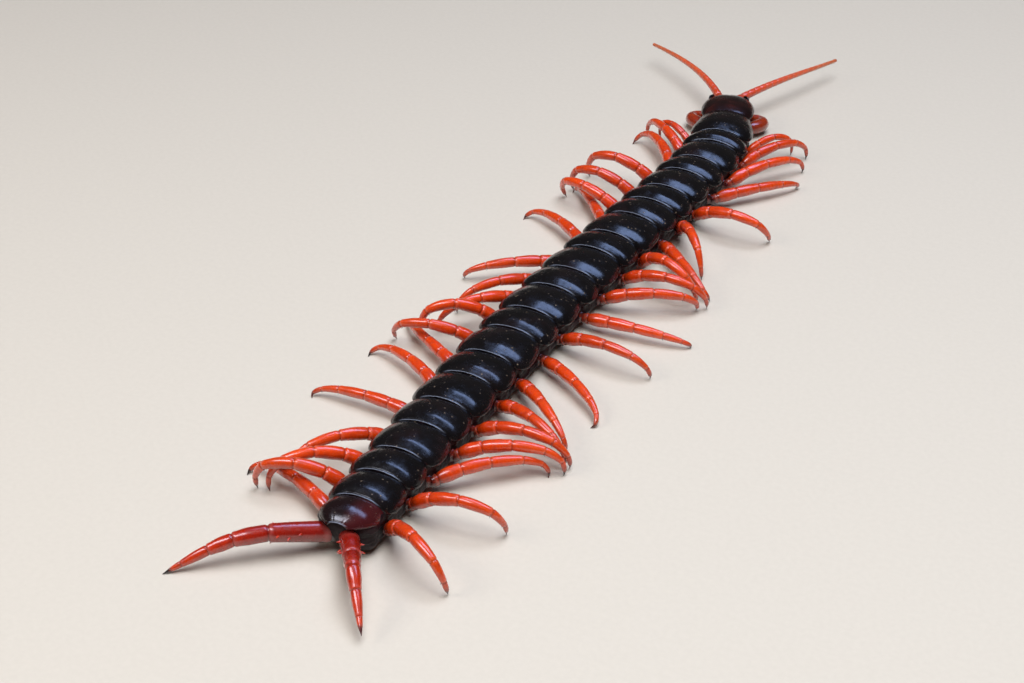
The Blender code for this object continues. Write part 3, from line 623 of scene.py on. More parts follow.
# The two points that an arch is drawn towards: share of the way out, of the rise, of the bow
ARCH_NEAR = (0.31, 1.00, 1.00)
ARCH_FAR = (1.11, 1.36, 1.94)


def toward(station, degrees, rise=0.0):
    """A unit vector at an angle to the left of the way ahead, and a rise, in degrees."""
    turn = np.radians(heading(station) + degrees)
    up = np.radians(rise)
    return np.array([-np.sin(turn) * np.cos(up), np.cos(turn) * np.cos(up), np.sin(up)])


def leg_length(number):
    return float(np.interp(number, *zip(*LEG_LENGTHS)))


def curve_points(a, b, c, d, steps):
    """Points on a smooth curve from its ends and the two points that it is drawn towards."""
    t = np.linspace(0, 1, steps + 1)[:, None]
    return a * (1 - t)**3 + b * (3 * (1 - t)**2 * t) + c * (3 * (1 - t) * t**2) + d * t**3


def fitted_line(controls, length, steps=80):
    """A curve of a set length; its control points come from how far it is drawn out."""
    low, high = 0.0, length
    for _ in range(40):
        pull = (low + high) / 2
        line = curve_points(*controls(pull), steps)
        if np.linalg.norm(np.diff(line, axis=0), axis=1).sum() < length:
            low = pull
        else:
            high = pull
    return line


def arched_line(root, foot, side, bow, length):
    """The middle line of a leg, an arch from its root to the floor."""
    run = foot - root
    tailward = np.array([run[1], -run[0], 0.0]) * side / np.hypot(run[0], run[1])

    def controls(rise):
        drawn = [root + run * out + np.array([0, 0, rise * up]) + tailward * bow * aside
                 for out, up, aside in (ARCH_NEAR, ARCH_FAR)]
        return root, *drawn, foot

    return fitted_line(controls, length)


def rounded(points, count, passes=6):
    """Rounds the bend in the first points of a line."""
    points = points.copy()
    for _ in range(passes):
        points[1:count] = (points[:count - 1] + 2 * points[1:count] + points[2:count + 1]) / 4
    return points


def at_shares(line, shares):
    """Points at shares of a line's length, run straight on past its ends."""
    runs = np.concatenate([[0.0], np.cumsum(np.linalg.norm(np.diff(line, axis=0), axis=1))])
    goals = np.asarray(shares) * runs[-1]
    points = np.stack([np.interp(goals, runs, line[:, k]) for k in range(3)], axis=1)
    before = np.minimum(goals, 0)[:, None] * (line[1] - line[0]) / runs[1]
    after = np.maximum(goals - runs[-1], 0)[:, None] * (line[-1] - line[-2]) / (runs[-1] - runs[-2])
    return points + before + after


def about_line(line, share):
    """A point on a line, the way ahead there, and the ways to the right of it and over it."""
    spot, beyond = at_shares(line, [share, share + 0.01])
    ahead = (beyond - spot) / np.linalg.norm(beyond - spot)
    across = np.cross(ahead, [0, 0, 1.0])
    across /= np.linalg.norm(across)
    return spot, ahead, across, np.cross(across, ahead)


def straighten(points, shares, joints, amount):
    """Draws a curved limb towards straight pieces between its joints."""
    ends = np.stack([np.interp(joints, shares, points[:, k]) for k in range(3)], axis=1)
    chords = np.stack([np.interp(shares, joints, ends[:, k]) for k in range(3)], axis=1)
    inside = ((shares > joints[0]) & (shares < joints[-1]))[:, None]
    return points + (chords - points) * amount * inside


def over_floor(heights, girths):
    """Lifts the middle line of a limb so that the limb stays over the floor."""
    return np.maximum(heights, girths * 0.98 + 0.01)


def limb_profile(joints, girths, waist=0.85, flare=0.05, before=()):
    """Places along a jointed limb, and the radius, paleness and shade of the skin at each: a pale ring before
    each joint, soft skin and partly a painted highlight, and painted shade in the crease after it.
    """
    shares = list(before)
    factors = [1.0] * len(shares)
    shades = [1.0] * len(shares)
    for start, end in zip(joints, joints[1:]):
        for t in JOINT_STEPS:
            shares.append(start + t * (end - start))
            neck = math.exp(-(t / 0.035) ** 2) + math.exp(-((1 - t) / 0.012) ** 2)
            collar = math.exp(-((t - 0.93) / 0.07) ** 2)
            factors.append(1 + (waist - 1) * neck + flare * collar + 0.02 * math.sin(math.pi * t))
            # painted shade: a darker crease just after each joint
            shades.append(1 - 0.40 * math.exp(-((t - 0.015) / 0.03) ** 2))
    shares.append(joints[-1])
    factors.append(1.0)
    shades.append(1.0)
    shares = np.array(shares)
    radii = even_curve(girths, shares) * np.array(factors)
    # pale ring just before each joint: soft joint skin and partly a painted highlight
    pale = np.max([np.exp(-((shares - j + 0.012) / 0.008) ** 2) for j in joints[1:-1]], axis=0)
    return shares, radii, 0.4 * pale, np.array(shades)


def limb_line(points, radii, along, pale=0.0, tone=1.0):
    """The middle line of a limb, with its girth, place along, paleness and tone at each point; paleness and
    tone can also carry a painted highlight and painted shade at the joints.
    """
    level = np.zeros(len(points))
    return points, {"girth": radii * MM, "along": along + level, "pale": pale + level, "tone": tone + level}


def lines_mesh(name, lines):
    """A mesh of open lines; each line is its points and its values for every point."""
    points = np.concatenate([line for line, _ in lines])
    edges, first = [], 0
    for line, _ in lines:
        edges += [(first + i, first + i + 1) for i in range(len(line) - 1)]
        first += len(line)
    mesh = bpy.data.meshes.new(name)
    mesh.from_pydata((points * MM).tolist(), edges, [])
    for key in lines[0][1]:
        values = np.concatenate([np.asarray(more[key], float) for _, more in lines])
        kind = "FLOAT_VECTOR" if values.ndim == 2 else "FLOAT"
        store = mesh.attributes.new(key, kind, "POINT")
        store.data.foreach_set("vector" if values.ndim == 2 else "value", values.astype(np.float32).ravel())
    return mesh


def spots_mesh(name, spots):
    """A mesh of loose points, each with an aim, a size in millimetres and a place along."""
    return lines_mesh(name, [(np.array([point]), {
        "aim": [aim], "size": [size * MM], "along": [along], "pale": [0.0], "tone": [1.0],
    }) for point, aim, size, along in spots])


def grown(name, start, tree, inputs):
    """Runs a tree of Geometry Nodes on a mesh and keeps the result as a plain piece."""
    holder = in_scene(name + "_start", start)
    growth = holder.modifiers.new("growth", "NODES")
    growth.node_group = tree
    for socket in tree.interface.items_tree:
        if socket.item_type == "SOCKET" and socket.in_out == "INPUT" and socket.name in inputs:
            growth[socket.identifier] = inputs[socket.name]
    bpy.context.view_layer.update()
    mesh = bpy.data.meshes.new_from_object(holder.evaluated_get(bpy.context.evaluated_depsgraph_get()))
    holder.modifiers.remove(growth)
    bpy.data.objects.remove(holder, do_unlink=True)
    mesh.name = name
    return finish_piece(name, mesh, inputs["Skin"])


def new_growth(name, start, **sizes):
    """An empty tree of Geometry Nodes with named inputs, and its group input node."""
    tree = bpy.data.node_groups.new(name, "GeometryNodeTree")
    for label, kind in ((start, "Geometry"), *sizes.items(), ("Skin", "Material")):
        tree.interface.new_socket(label, in_out="INPUT", socket_type="NodeSocket" + kind)
    tree.interface.new_socket("Shape", in_out="OUTPUT", socket_type="NodeSocketGeometry")
    return tree, add(tree, "NodeGroupInput")


def end_growth(tree, given, shape):
    """Ends a tree: its copies are made real and get their material."""
    real = add(tree, "GeometryNodeRealizeInstances", links={"Geometry": shape})
    painted = add(tree, "GeometryNodeSetMaterial",
                  links={"Geometry": real.outputs["Geometry"], "Material": given.outputs["Skin"]})
    add(tree, "NodeGroupOutput", links={"Shape": painted.outputs["Geometry"]})


# Limb tree: a round shell along each line, as thick at each point as its girth says.
limb_tree, given = new_growth("limb_shells", "Lines", Sides="Int")
girth = add(limb_tree, "GeometryNodeInputNamedAttribute", settings={"data_type": "FLOAT"},
            values={"Name": "girth"})
curves = add(limb_tree, "GeometryNodeMeshToCurve", links={"Mesh": given.outputs["Lines"]})
ring = add(limb_tree, "GeometryNodeCurvePrimitiveCircle", values={"Radius": 1.0},
           links={"Resolution": given.outputs["Sides"]})
shell = add(limb_tree, "GeometryNodeCurveToMesh", values={"Fill Caps": True},
            links={"Curve": curves.outputs["Curve"], "Profile Curve": ring.outputs["Curve"],
                   "Scale": girth.outputs["Attribute"]})
end_growth(limb_tree, given, shell.outputs["Mesh"])

# Thorn tree: a small cone at each point, along its aim and as long as its size says.
thorn_tree, given = new_growth("thorns", "Points", Slimness="Float", Sides="Int")
aim = add(thorn_tree, "GeometryNodeInputNamedAttribute", settings={"data_type": "FLOAT_VECTOR"},
          values={"Name": "aim"})
size = add(thorn_tree, "GeometryNodeInputNamedAttribute", settings={"data_type": "FLOAT"},
           values={"Name": "size"})
cone = add(thorn_tree, "GeometryNodeMeshCone", values={"Side Segments": 2, "Radius Top": 0.02, "Depth": 1.0},
           links={"Vertices": given.outputs["Sides"], "Radius Bottom": given.outputs["Slimness"]})
turned = add(thorn_tree, "FunctionNodeAlignRotationToVector", settings={"axis": "Z"},
             links={"Vector": aim.outputs["Attribute"]})
placed = add(thorn_tree, "GeometryNodeInstanceOnPoints",
             links={"Points": given.outputs["Points"], "Instance": cone.outputs["Mesh"],
                    "Rotation": turned.outputs["Rotation"], "Scale": size.outputs["Attribute"]})
end_growth(thorn_tree, given, placed.outputs["Instances"])


def limb_piece(name, limbs, sides, skin):
    """A piece of round shells along the lines of limbs."""
    return grown(name, lines_mesh(name + "_lines", limbs), limb_tree, {"Sides": sides, "Skin": skin})


def thorn_piece(name, spots, sides, slimness, skin):
    """A piece of small cones, each at its point."""
    sizes = {"Sides": sides, "Slimness": slimness, "Skin": skin}
    return grown(name, spots_mesh(name + "_spots", spots), thorn_tree, sizes)


def limb_finish(name, stops, mottle, pale_hex, spacing=0.0012, roughness=(0.22, 0.36)):
    """Chitin of a limb: coloured along its length, mottled, and pale where skin shows and where a highlight
    is painted at the joints; its tone can carry painted shade.
    """
    material, tree, place = new_finish(name)
    base = add(tree, "ShaderNodeValToRGB", links={"Fac": point_values(tree, "along")})
    colour_steps(base, stops)
    spots = marks(tree, place, 1 / spacing, 4.0, 0.55)
    mottled = tinged(tree, base.outputs["Color"], mottle, spread(tree, spots, 0.0, 0.55, 0.42, 0.72))
    toned = add(tree, "ShaderNodeHueSaturation",
                links={"Color": mottled, "Value": point_values(tree, "tone")})
    # pale rings: soft skin, and at the joints partly a painted highlight
    skin = add(tree, "ShaderNodeMath", settings={"operation": "MULTIPLY"}, values={1: PALE_SKIN_AND_HIGHLIGHT},
               links={0: point_values(tree, "pale")})
    ringed = tinged(tree, toned.outputs["Color"], pale_hex, skin.outputs["Value"])
    grit = marks(tree, place, 2600.0, 3.0)
    end_finish(tree, {"IOR": 1.5, "Coat Weight": 1.0, "Coat Roughness": 0.18, "Subsurface Weight": 0.10,
                      "Subsurface Radius": (1.0, 0.2, 0.05), "Subsurface Scale": 0.0006},
               {"Base Color": ringed, "Roughness": spread(tree, spots, *roughness, 0.3, 0.7),
                "Normal": bumps(tree, grit, 0.16, 0.00005)})
    return material


# Chitin of the walking legs: thin, bright orange-red with a wet sheen, mottled by marks 1.2 mm
# apart. Claws and spurs are of thick dark chitin, with streaks drawn as coarse as 0.4 mm.
# darker towards the root: the coxa's own dark colour, deepened by painted shade under the plates
leg_chitin = limb_finish("walking_leg_chitin_satin",
                         ((0.0, "2A0E0E"), (0.03, "5A180E"), (0.075, "B2360A"), (0.15, "D03C06"),
                          (0.46, "D84208"), (0.71, "DA4810"), (0.90, "D04618"), (0.948, "8E2A12"),
                          (0.965, "1C0B09")),
                         mottle="A02604", pale_hex="F0A284")
thorn_chitin, tree, _, _, tint = clouded_finish("claw_and_thorn_chitin_dark", 2400.0, 3.0,
                                                ((0.3, "140807"), (0.7, "3A170F")))
end_finish(tree, {"IOR": 1.56, "Roughness": 0.24}, {"Base Color": tint})

random = np.random.default_rng(21)
shares, radii, pale, shades = limb_profile(LEG_JOINTS, LEG_GIRTHS, before=LEG_ROOT_SHARES)
climb = (LEG_ROOT_Z - BASE_LOW_Z) / (BASE_TOP_Z - BASE_LOW_Z)
root_share = BASE_LOW_SHARE + climb * (BASE_TOP_SHARE - BASE_LOW_SHARE)
for side, word in SIDES:
    swings, reaches, bows = STANCE[side]
    limbs, spurs = [], []
    for number in range(1, len(PLATES)):
        swing, reach = swings[number - 1], reaches[number - 1]
        length = leg_length(number)
        size = length / LEG_FULL
        station = plate_rear(number) + PLATES[number - 1] * LEG_PLACE
        half = float(half_width(station))
        lean = math.degrees(math.atan2((BASE_TOP_SHARE - BASE_LOW_SHARE) * half, BASE_TOP_Z - BASE_LOW_Z))
        outward = toward(station, -90 * side, -lean)
        root = on_trunk(station, side * half * root_share, LEG_ROOT_Z) + outward * JOIN_GAP
        foot = root + toward(station, -side * (90 - swing)) * reach
        foot[2] = FOOT_Z
        line = arched_line(root, foot, side, bows.get(number, LEG_BOW), length)
        points = straighten(at_shares(line, shares), shares, np.array(LEG_JOINTS[1:-1]), LEG_STRAIGHTNESS)
        inside = shares < 0
        points[inside] = root + outward * shares[inside, None] * length
        points = rounded(points, int(np.searchsorted(shares, 0.10)))
        girths = np.maximum(radii * size * random.uniform(0.97, 1.03), 0.04)
        points[:, 2] = over_floor(points[:, 2], girths)
        # tone: random for each leg, with painted shade in the crease after each joint
        limbs.append(limb_line(points, girths, shares.clip(0, 1), pale, shades * random.uniform(0.92, 1.08)))
        for place, spur_length in SPURS:
            spot, ahead, across, over = about_line(line, place)
            for turn in (-SPUR_SPREAD, SPUR_SPREAD):
                out = across * math.sin(turn) - over * math.cos(turn)
                radius = float(np.interp(place, shares, girths))
                spurs.append((spot + out * radius * 0.85, out * 0.8 + ahead, spur_length * size, 0.0))
    walking_legs = limb_piece("legs_" + word, limbs, LEG_SIDES, leg_chitin)
    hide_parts(*["leg_%s_%02d" % (word, number) for number in range(1, len(PLATES))])
    leg_spurs = thorn_piece("leg_spurs_" + word, spurs, SPUR_SIDES, SPUR_SLIMNESS, thorn_chitin)

# Last legs: the longest and thickest pair, trailed behind and not walked on, crimson at
# the thigh and orange towards the black claw, with short thorns on the thigh. Each leaves
# a swollen side piece at the end of the trunk through a ring of soft pink skin.
LAST_ROOT_Z = 4.3
LAST_FALL = 24.0
LAST_SIDES = 28
LAST_STRAIGHTNESS = 0.5
# By side: the root's station and its distance from the middle, the way that the leg leaves and
# its rise, the tip's angle, reach and height, the way that it arrives, and the leg's length
LAST_LEGS = {
    1: (2.8, 1.3, -149.0, 8.0, -148.5, 24.6, 2.2, -147.0, 26.4),
    -1: (1.9, 4.7, 124.0, 8.0, 127.2, 27.4, 0.0, 130.0, 28.4),
}
LAST_JOINTS = (-0.10, 0.30, 0.52, 0.685, 0.87, 0.945, 1.0)
LAST_GIRTHS = ((-0.14, 1.70), (-0.08, 1.92), (-0.03, 1.90), (0.03, 1.84), (0.16, 1.79), (0.24, 1.70),
               (0.29, 1.60), (0.34, 1.54), (0.43, 1.56), (0.52, 1.30), (0.60, 1.30), (0.685, 1.02),
               (0.78, 0.90), (0.87, 0.62), (0.945, 0.37), (0.965, 0.24), (1.0, 0.05))
SIDE_PIECE_DEPTH = 4.6
SIDE_PIECE_LENGTH = 2.6
SIDE_PIECE_RADIUS = 1.9
SIDE_PIECE_RINGS = 26
SOFT_SKIN = {1: 0.060, -1: -0.072}  # where along the leg the soft pink skin shows
SOFT_SKIN_WIDE = 0.016
# Thorns of the thigh: place along the leg, and turn from its top
THIGH_THORNS = ((0.10, 70.0), (0.17, 95.0), (0.24, 80.0), (0.27, 180.0), (0.14, -80.0), (0.22, -95.0),
                (0.12, 10.0), (0.21, 25.0), (0.26, -20.0))
THORN_LENGTH = 1.15
THORN_SLIMNESS = 0.30
THORN_SIDES = 10
THORN_FLAT = 30.0  # those within this turn of the top are shorter
# Chitin of the last legs: thicker and a deeper red. The side piece is nearly black.
last_chitin = limb_finish("last_leg_chitin_satin",
                          ((0.0, "7E140C"), (0.04, "84140A"), (0.20, "8A1606"), (0.36, "961A07"),
                           (0.55, "AC2608"), (0.75, "C03209"), (0.92, "C43C12"), (0.945, "6E2414"),
                           (0.96, "15090A")),
                          mottle="6C1005", pale_hex="DE8E8A")
side_piece_chitin = limb_finish("side_piece_chitin_dark",
                                ((0.0, "1A090B"), (0.5, "2C0E10"), (1.0, "6A1F1E")),
                                mottle="140708", pale_hex="C08A94", spacing=0.0009, roughness=(0.3, 0.45))


def swung_line(start, leave, end, arrive, length):
    """A curve of a set length between two points, with a set way out and way in."""
    return fitted_line(lambda pull: (start, start + leave * pull, end - arrive * pull, end), length)


last_shares, last_radii, last_pale, last_shades = limb_profile(LAST_JOINTS, LAST_GIRTHS,
                                                               before=(-0.14, -0.12))
for side, word in SIDES:
    station, out, angle, rise, tip_angle, reach, tip_z, arrive, length = LAST_LEGS[side]
    root = on_trunk(station, side * out, LAST_ROOT_Z)
    way = toward(station, angle, rise)
    foot = root + toward(0.0, tip_angle) * reach
    foot[2] = max(tip_z, FOOT_Z)
    line = swung_line(root, way, foot, toward(0.0, arrive, -LAST_FALL), length)
    points = at_shares(line, last_shares)
    points = straighten(points, last_shares, np.array(LAST_JOINTS[:-1]), LAST_STRAIGHTNESS)
    points[:, 2] = over_floor(points[:, 2], last_radii)
    soft_skin = 1.2 * np.exp(-((last_shares - SOFT_SKIN[side]) / SOFT_SKIN_WIDE) ** 2)
    limb = limb_line(points, np.maximum(last_radii, 0.04), last_shares.clip(0, 1), last_pale + soft_skin,
                     last_shades)
    last_leg = limb_piece("last_leg_shell_" + word, [limb], LAST_SIDES, last_chitin)
    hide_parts("last_leg_" + word)
    depths = np.linspace(0, 1, SIDE_PIECE_RINGS)
    base_points = root + way * (SIDE_PIECE_LENGTH * depths[:, None] - SIDE_PIECE_DEPTH)
    base_girths = SIDE_PIECE_RADIUS * np.sqrt(np.clip(1 - ((depths - 0.55) / 0.62) ** 2, 0.05, 1))
    base_girths += 0.12 * np.exp(-((depths - 0.9) / 0.05) ** 2)
    base_girths[-3:] *= (0.98, 0.93, 0.8)
    limb = limb_line(base_points, base_girths, depths ** 3, 2.6 * np.exp(-((depths - 0.985) / 0.04) ** 2))
    side_piece = limb_piece("last_leg_base_" + word, [limb], LAST_SIDES, side_piece_chitin)
    thorn_spots = []
    for place, turn in THIGH_THORNS:
        spot, ahead, across, over = about_line(line, place)
        outward = across * math.sin(math.radians(turn)) * side + over * math.cos(math.radians(turn))
        radius = float(np.interp(place, last_shares, last_radii))
        size = THORN_LENGTH * (0.55 if abs(turn) < THORN_FLAT else 1.0)
        thorn_spots.append((spot + outward * (radius - 0.3), outward + ahead * 0.6, size, 0.8))
    thorns = thorn_piece("last_leg_thorns_" + word, thorn_spots, THORN_SIDES, THORN_SLIMNESS, last_chitin)

# Head: a flat shield of dark red-brown chitin with a rim, over a rounded underside. A faint
# pair of grooves runs along the shield, and the feelers leave its front through short rings.
HEAD_HALF = 6.5
# By share of the head's length: its width to the widest place, and the heights of its back and
# its underside
HEAD_WIDTH = ((-0.05, 0.66), (0.0, 0.74), (0.03, 0.82), (0.12, 0.93), (0.34, 1.0), (0.58, 0.965),
              (0.78, 0.84), (0.90, 0.68), (0.97, 0.52), (1.0, 0.40))
HEAD_BACK = ((-0.05, 8.45), (0.0, 8.7), (0.12, 9.05), (0.34, 9.2), (0.58, 8.95), (0.78, 8.4),
             (0.92, 7.7), (1.0, 7.2))
HEAD_UNDER = ((0.0, 4.9), (0.58, 4.9), (0.78, 5.0), (0.92, 5.2), (1.0, 5.4))
HEAD_MARGIN_SHARE = 0.36
HEAD_CROWN = (2.5, 0.62)  # how flat on top, and how full at the sides
HEAD_EDGE_BLEND = 0.15
HEAD_SIDE_SLOPE = 2.2
HEAD_THICK = 0.35
HEAD_ROWS = 56
HEAD_COLUMNS = 65
UNDERSIDE_ROWS = 40
UNDERSIDE_SHARE = 0.93  # its width to the shield's
SHIELD_GROOVES = (0.30, 0.12, 0.05)  # share of the half width, width, depth
FRONT_CLEFT = (0.25, 0.10)  # width and depth
SHIELD_RIM = 0.6  # height of its rim to a back plate's
# Chitin of the head: as the back plates, browner, with pits 0.6 mm apart, coarser than life.
head_chitin, tree, place, clouds, tint = clouded_finish(
    "head_shield_chitin_polished", 230.0, 4.0, ((0.30, "120708"), (0.50, "1F0B0B"), (0.72, "35120E")))
pits = spread(tree, specks(tree, place, 1700.0), 0.0, 1.0, end=0.3)
end_finish(tree, {"IOR": 1.5, "Coat Weight": 0.2, "Coat Roughness": 0.14},
           {"Base Color": tint, "Roughness": spread(tree, clouds, 0.18, 0.34),
            "Normal": bumps(tree, pits, 0.25, 0.00006)})

along = np.linspace(-0.05, 1, HEAD_ROWS)[:, None]
across = side_to_side(HEAD_COLUMNS)[None, :]
station = TRUNK + along * HEAD
half = even_curve(HEAD_WIDTH, along) * HEAD_HALF
back = even_curve(HEAD_BACK, along)
under = even_curve(HEAD_UNDER, along)
margin = under + (back - under) * HEAD_MARGIN_SHARE
height = margin + (back - margin) * (1 - np.abs(across) ** HEAD_CROWN[0]) ** HEAD_CROWN[1]
from_front = (1 - along) * HEAD + 0 * across
from_edge = to_edge(from_front, (1 - np.abs(across)) * half * HEAD_SIDE_SLOPE, HEAD_EDGE_BLEND)
height = height + SHIELD_RIM * rim_relief(from_edge)
groove_share, groove_wide, groove_deep = SHIELD_GROOVES
grooves = np.exp(-((np.abs(across) - groove_share) * half / groove_wide) ** 2)
cleft_wide, cleft_deep = FRONT_CLEFT
cleft = np.exp(-(across * half / cleft_wide) ** 2)
height = height - groove_deep * grooves * np.clip((0.7 - along) / 0.2, 0, 1)
height = height - cleft_deep * cleft * np.clip((along - 0.72) / 0.2, 0, 1)
upper = on_trunk(station, across * half, height)
upper[..., 2] += 0.05 * grain(upper, 3.0, 40.0) + 0.015 * grain(upper, 0.9, 40.0)
lower = on_trunk(station, across * (half - 0.25), upper[..., 2] - HEAD_THICK)
head_shield = make_piece("head_shield", np.array([upper, lower]), slab_faces(HEAD_ROWS, HEAD_COLUMNS),
                         head_chitin)
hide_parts("head")

along = np.linspace(0.02, 0.985, UNDERSIDE_ROWS)
half = even_curve(HEAD_WIDTH, along) * HEAD_HALF * UNDERSIDE_SHARE
back = even_curve(HEAD_BACK, along)
under = even_curve(HEAD_UNDER, along)
margin = under + (back - under) * HEAD_MARGIN_SHARE
front_round = np.sqrt(np.clip(1 - ((along - 0.86).clip(0) / 0.15) ** 2, 0.05, 1))
crown = back - margin
guides = ((0.0 * half, under), (0.45 * half, under), (0.78 * half, under + 0.25),
          (0.97 * half, (under + margin) / 2), (0.97 * half, margin - 0.1),
          (0.80 * half, margin + 0.45 * crown), (0.42 * half, margin + 0.78 * crown),
          (0.0 * half, margin + 0.86 * crown))
rings = section_rings(TRUNK + along * HEAD, guides, SECTION_STEPS, (under + back) / 2, front_round)
rings = push_out(rings, 0.05 * grain(rings, 0.9, 11.0))
head_under = ring_piece("head_underside", rings, side_piece_chitin)
paint(head_under, along=0.75, pale=0.0, tone=1.0)

# Feelers: two tapering strings of eighteen short joints of orange chitin, each a little
# narrower at its root, with fine short hairs on all but the first few.
FEELER_SIDE = 2.1
FEELER_STATION = WHOLE - 1.0
FEELER_Z = 6.3
FEELER_SOCKET_REACH = 1.5
# By side: the ways that a feeler leaves and arrives, then its tip's angle, reach and height
FEELER_PATHS = {
    1: (-44.0, -38.0, -41.0, 37.0, 5.5),
    -1: (18.0, 38.0, 29.0, 36.5, 6.0),
}
FEELER_RISE = 6.0
FEELER_FALL = 4.0
FEELER_JOINTS = 18
FEELER_ROOT = 1.05
FEELER_TIP = 0.40
FEELER_TAPER = 0.8
FEELER_SIDES = 16
FEELER_HAIRS = 900
HAIRS_FROM = 0.24
HAIR_LENGTHS = (0.16, 0.30)
HAIR_SLIMNESS = 0.07
HAIR_SIDES = 4
SOCKET_BACK = 1.2  # how far a feeler's socket ring reaches back from its place
SOCKET_LENGTH = 3.0
SOCKET_RADIUS = 1.10
SOCKET_RINGS = 14
# Chitin of the feelers: paler and duller than the legs', for the fine down on it.
feeler_chitin = limb_finish("feeler_chitin_satin",
                            ((0.0, "C2401C"), (0.2, "D24A22"), (0.6, "D65A30"), (1.0, "CC6A40")),
                            mottle="A83A18", pale_hex="EBA583", spacing=0.0007, roughness=(0.34, 0.5))
feeler_hair = limb_finish("feeler_hair", ((0.0, "C8875A"), (1.0, "D8A076")),
                          mottle="B06A40", pale_hex="F0D0B0")


def eased_line(start, leave, end, arrive, steps=80):
    """A slight curve between two points, with a set way out and way in."""
    pull = np.linalg.norm(end - start) / 3
    return curve_points(start, start + leave * pull, end - arrive * pull, end, steps)


joints = np.linspace(0, 1, FEELER_JOINTS + 1)
steps = np.array((0.0, 0.07, 0.22, 0.5, 0.78, 0.95))
feeler_shares = np.concatenate([start + steps / FEELER_JOINTS for start in joints[:-1]] + [[1.0]])
within = np.concatenate([steps] * FEELER_JOINTS + [[0.9]])
waists = 1 - 0.20 * np.exp(-(within / 0.10) ** 2) + 0.04 * np.exp(-((within - 0.78) / 0.2) ** 2)
feeler_radii = (FEELER_ROOT + (FEELER_TIP - FEELER_ROOT) * feeler_shares ** FEELER_TAPER) * waists
feeler_radii[-1] *= 0.45
for side, word in SIDES:
    leave, arrive, tip_angle, reach, tip_z = FEELER_PATHS[side]
    way = toward(FEELER_STATION, leave, FEELER_RISE)
    socket = on_trunk(FEELER_STATION, side * FEELER_SIDE, FEELER_Z)
    root = socket + way * (FEELER_SOCKET_REACH + JOIN_GAP)
    tip = root + toward(WHOLE, tip_angle) * reach
    tip[2] = tip_z
    line = eased_line(root, way, tip, toward(WHOLE, arrive, -FEELER_FALL))
    points = at_shares(line, feeler_shares)
    limb = limb_line(points, feeler_radii, feeler_shares, np.exp(-(within / 0.08) ** 2) * 0.6)
    feeler = limb_piece("feeler_string_" + word, [limb], FEELER_SIDES, feeler_chitin)
    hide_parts("feeler_" + word)
    depths = np.linspace(0, 1, SOCKET_RINGS)
    socket_points = socket + way * (SOCKET_LENGTH * depths[:, None] - SOCKET_BACK)
    socket_girths = SOCKET_RADIUS - 0.06 * depths + 0.08 * np.exp(-((depths - 0.55) / 0.08) ** 2)
    socket_girths[-2:] *= (0.92, 0.75)
    limb = limb_line(socket_points, socket_girths, 0.0, 0.5 * np.exp(-((depths - 1) / 0.1) ** 2), 0.8)
    socket_ring = limb_piece("feeler_socket_" + word, [limb], FEELER_SIDES, feeler_chitin)
    hair_spots = []
    places = random.uniform(HAIRS_FROM, 0.995, FEELER_HAIRS)
    for share, around in zip(places, random.uniform(0, math.tau, FEELER_HAIRS)):
        spot, ahead, across, over = about_line(line, share)
        outward = across * math.sin(around) + over * math.cos(around)
        radius = float(np.interp(share, feeler_shares, feeler_radii))
        hair_spots.append((spot + outward * radius * 0.95, outward + ahead * 0.9,
                           random.uniform(*HAIR_LENGTHS), share))
    hairs = thorn_piece("feeler_hairs_" + word, hair_spots, HAIR_SIDES, HAIR_SLIMNESS, feeler_hair)

# Poison claws: a broad plate under the head with two toothed lobes in front, and a thick
# curved claw at each side of it, of dark orange-red chitin with a sharp black tip.
CLAW_ROOT_STATION = 3.2
CLAW_Z = 2.65
CLAW_LENGTH = 15.5
CLAW_LEAVE = -58.0
CLAW_ARRIVE = 78.0
# Rings of the broad plate: place ahead of the trunk's end, half width, underside and top
CLAW_BASE_RINGS = ((0.1, 3.9, 1.3, 4.3), (1.2, 4.9, 1.0, 4.4), (3.2, 5.0, 1.0, 4.4), (5.2, 4.8, 1.0, 4.4),
                   (7.2, 3.5, 1.5, 4.1), (8.0, 2.5, 2.0, 3.6))
CLAW_TIP = (12.0, 0.9, 2.15)  # ahead of the trunk's end, from the middle, height
CLAW_ROOT_SIDE = 4.9
CLAW_SIDES = 28
CLAW_JOINTS = (0.0, 0.47, 0.56, 0.65, 1.0)
CLAW_GIRTHS = ((-0.10, 1.25), (-0.03, 1.42), (0.0, 1.40), (0.10, 1.58), (0.30, 1.62), (0.47, 1.32),
               (0.56, 1.20), (0.65, 1.00), (0.74, 0.80), (0.86, 0.52), (0.95, 0.27), (1.0, 0.06))
TOOTH_STATION = 8.5
TOOTH_STEP = 0.36
TOOTH_SLIMNESS = 0.36
TOOTH_LENGTH = 0.5
TOOTH_TURN = 6.0
TOOTH_SIDES = 8
TEETH = 4
# Ends of a tooth lobe: place ahead of the trunk's end, from the middle, height
LOBE_ROOT = (6.9, 1.2, 2.65)
LOBE_TIP = (TOOTH_STATION, 1.0, 2.5)
LOBE_RADII = (0.92, 0.70)
LOBE_RINGS = 10
LOBE_SIDES = 20
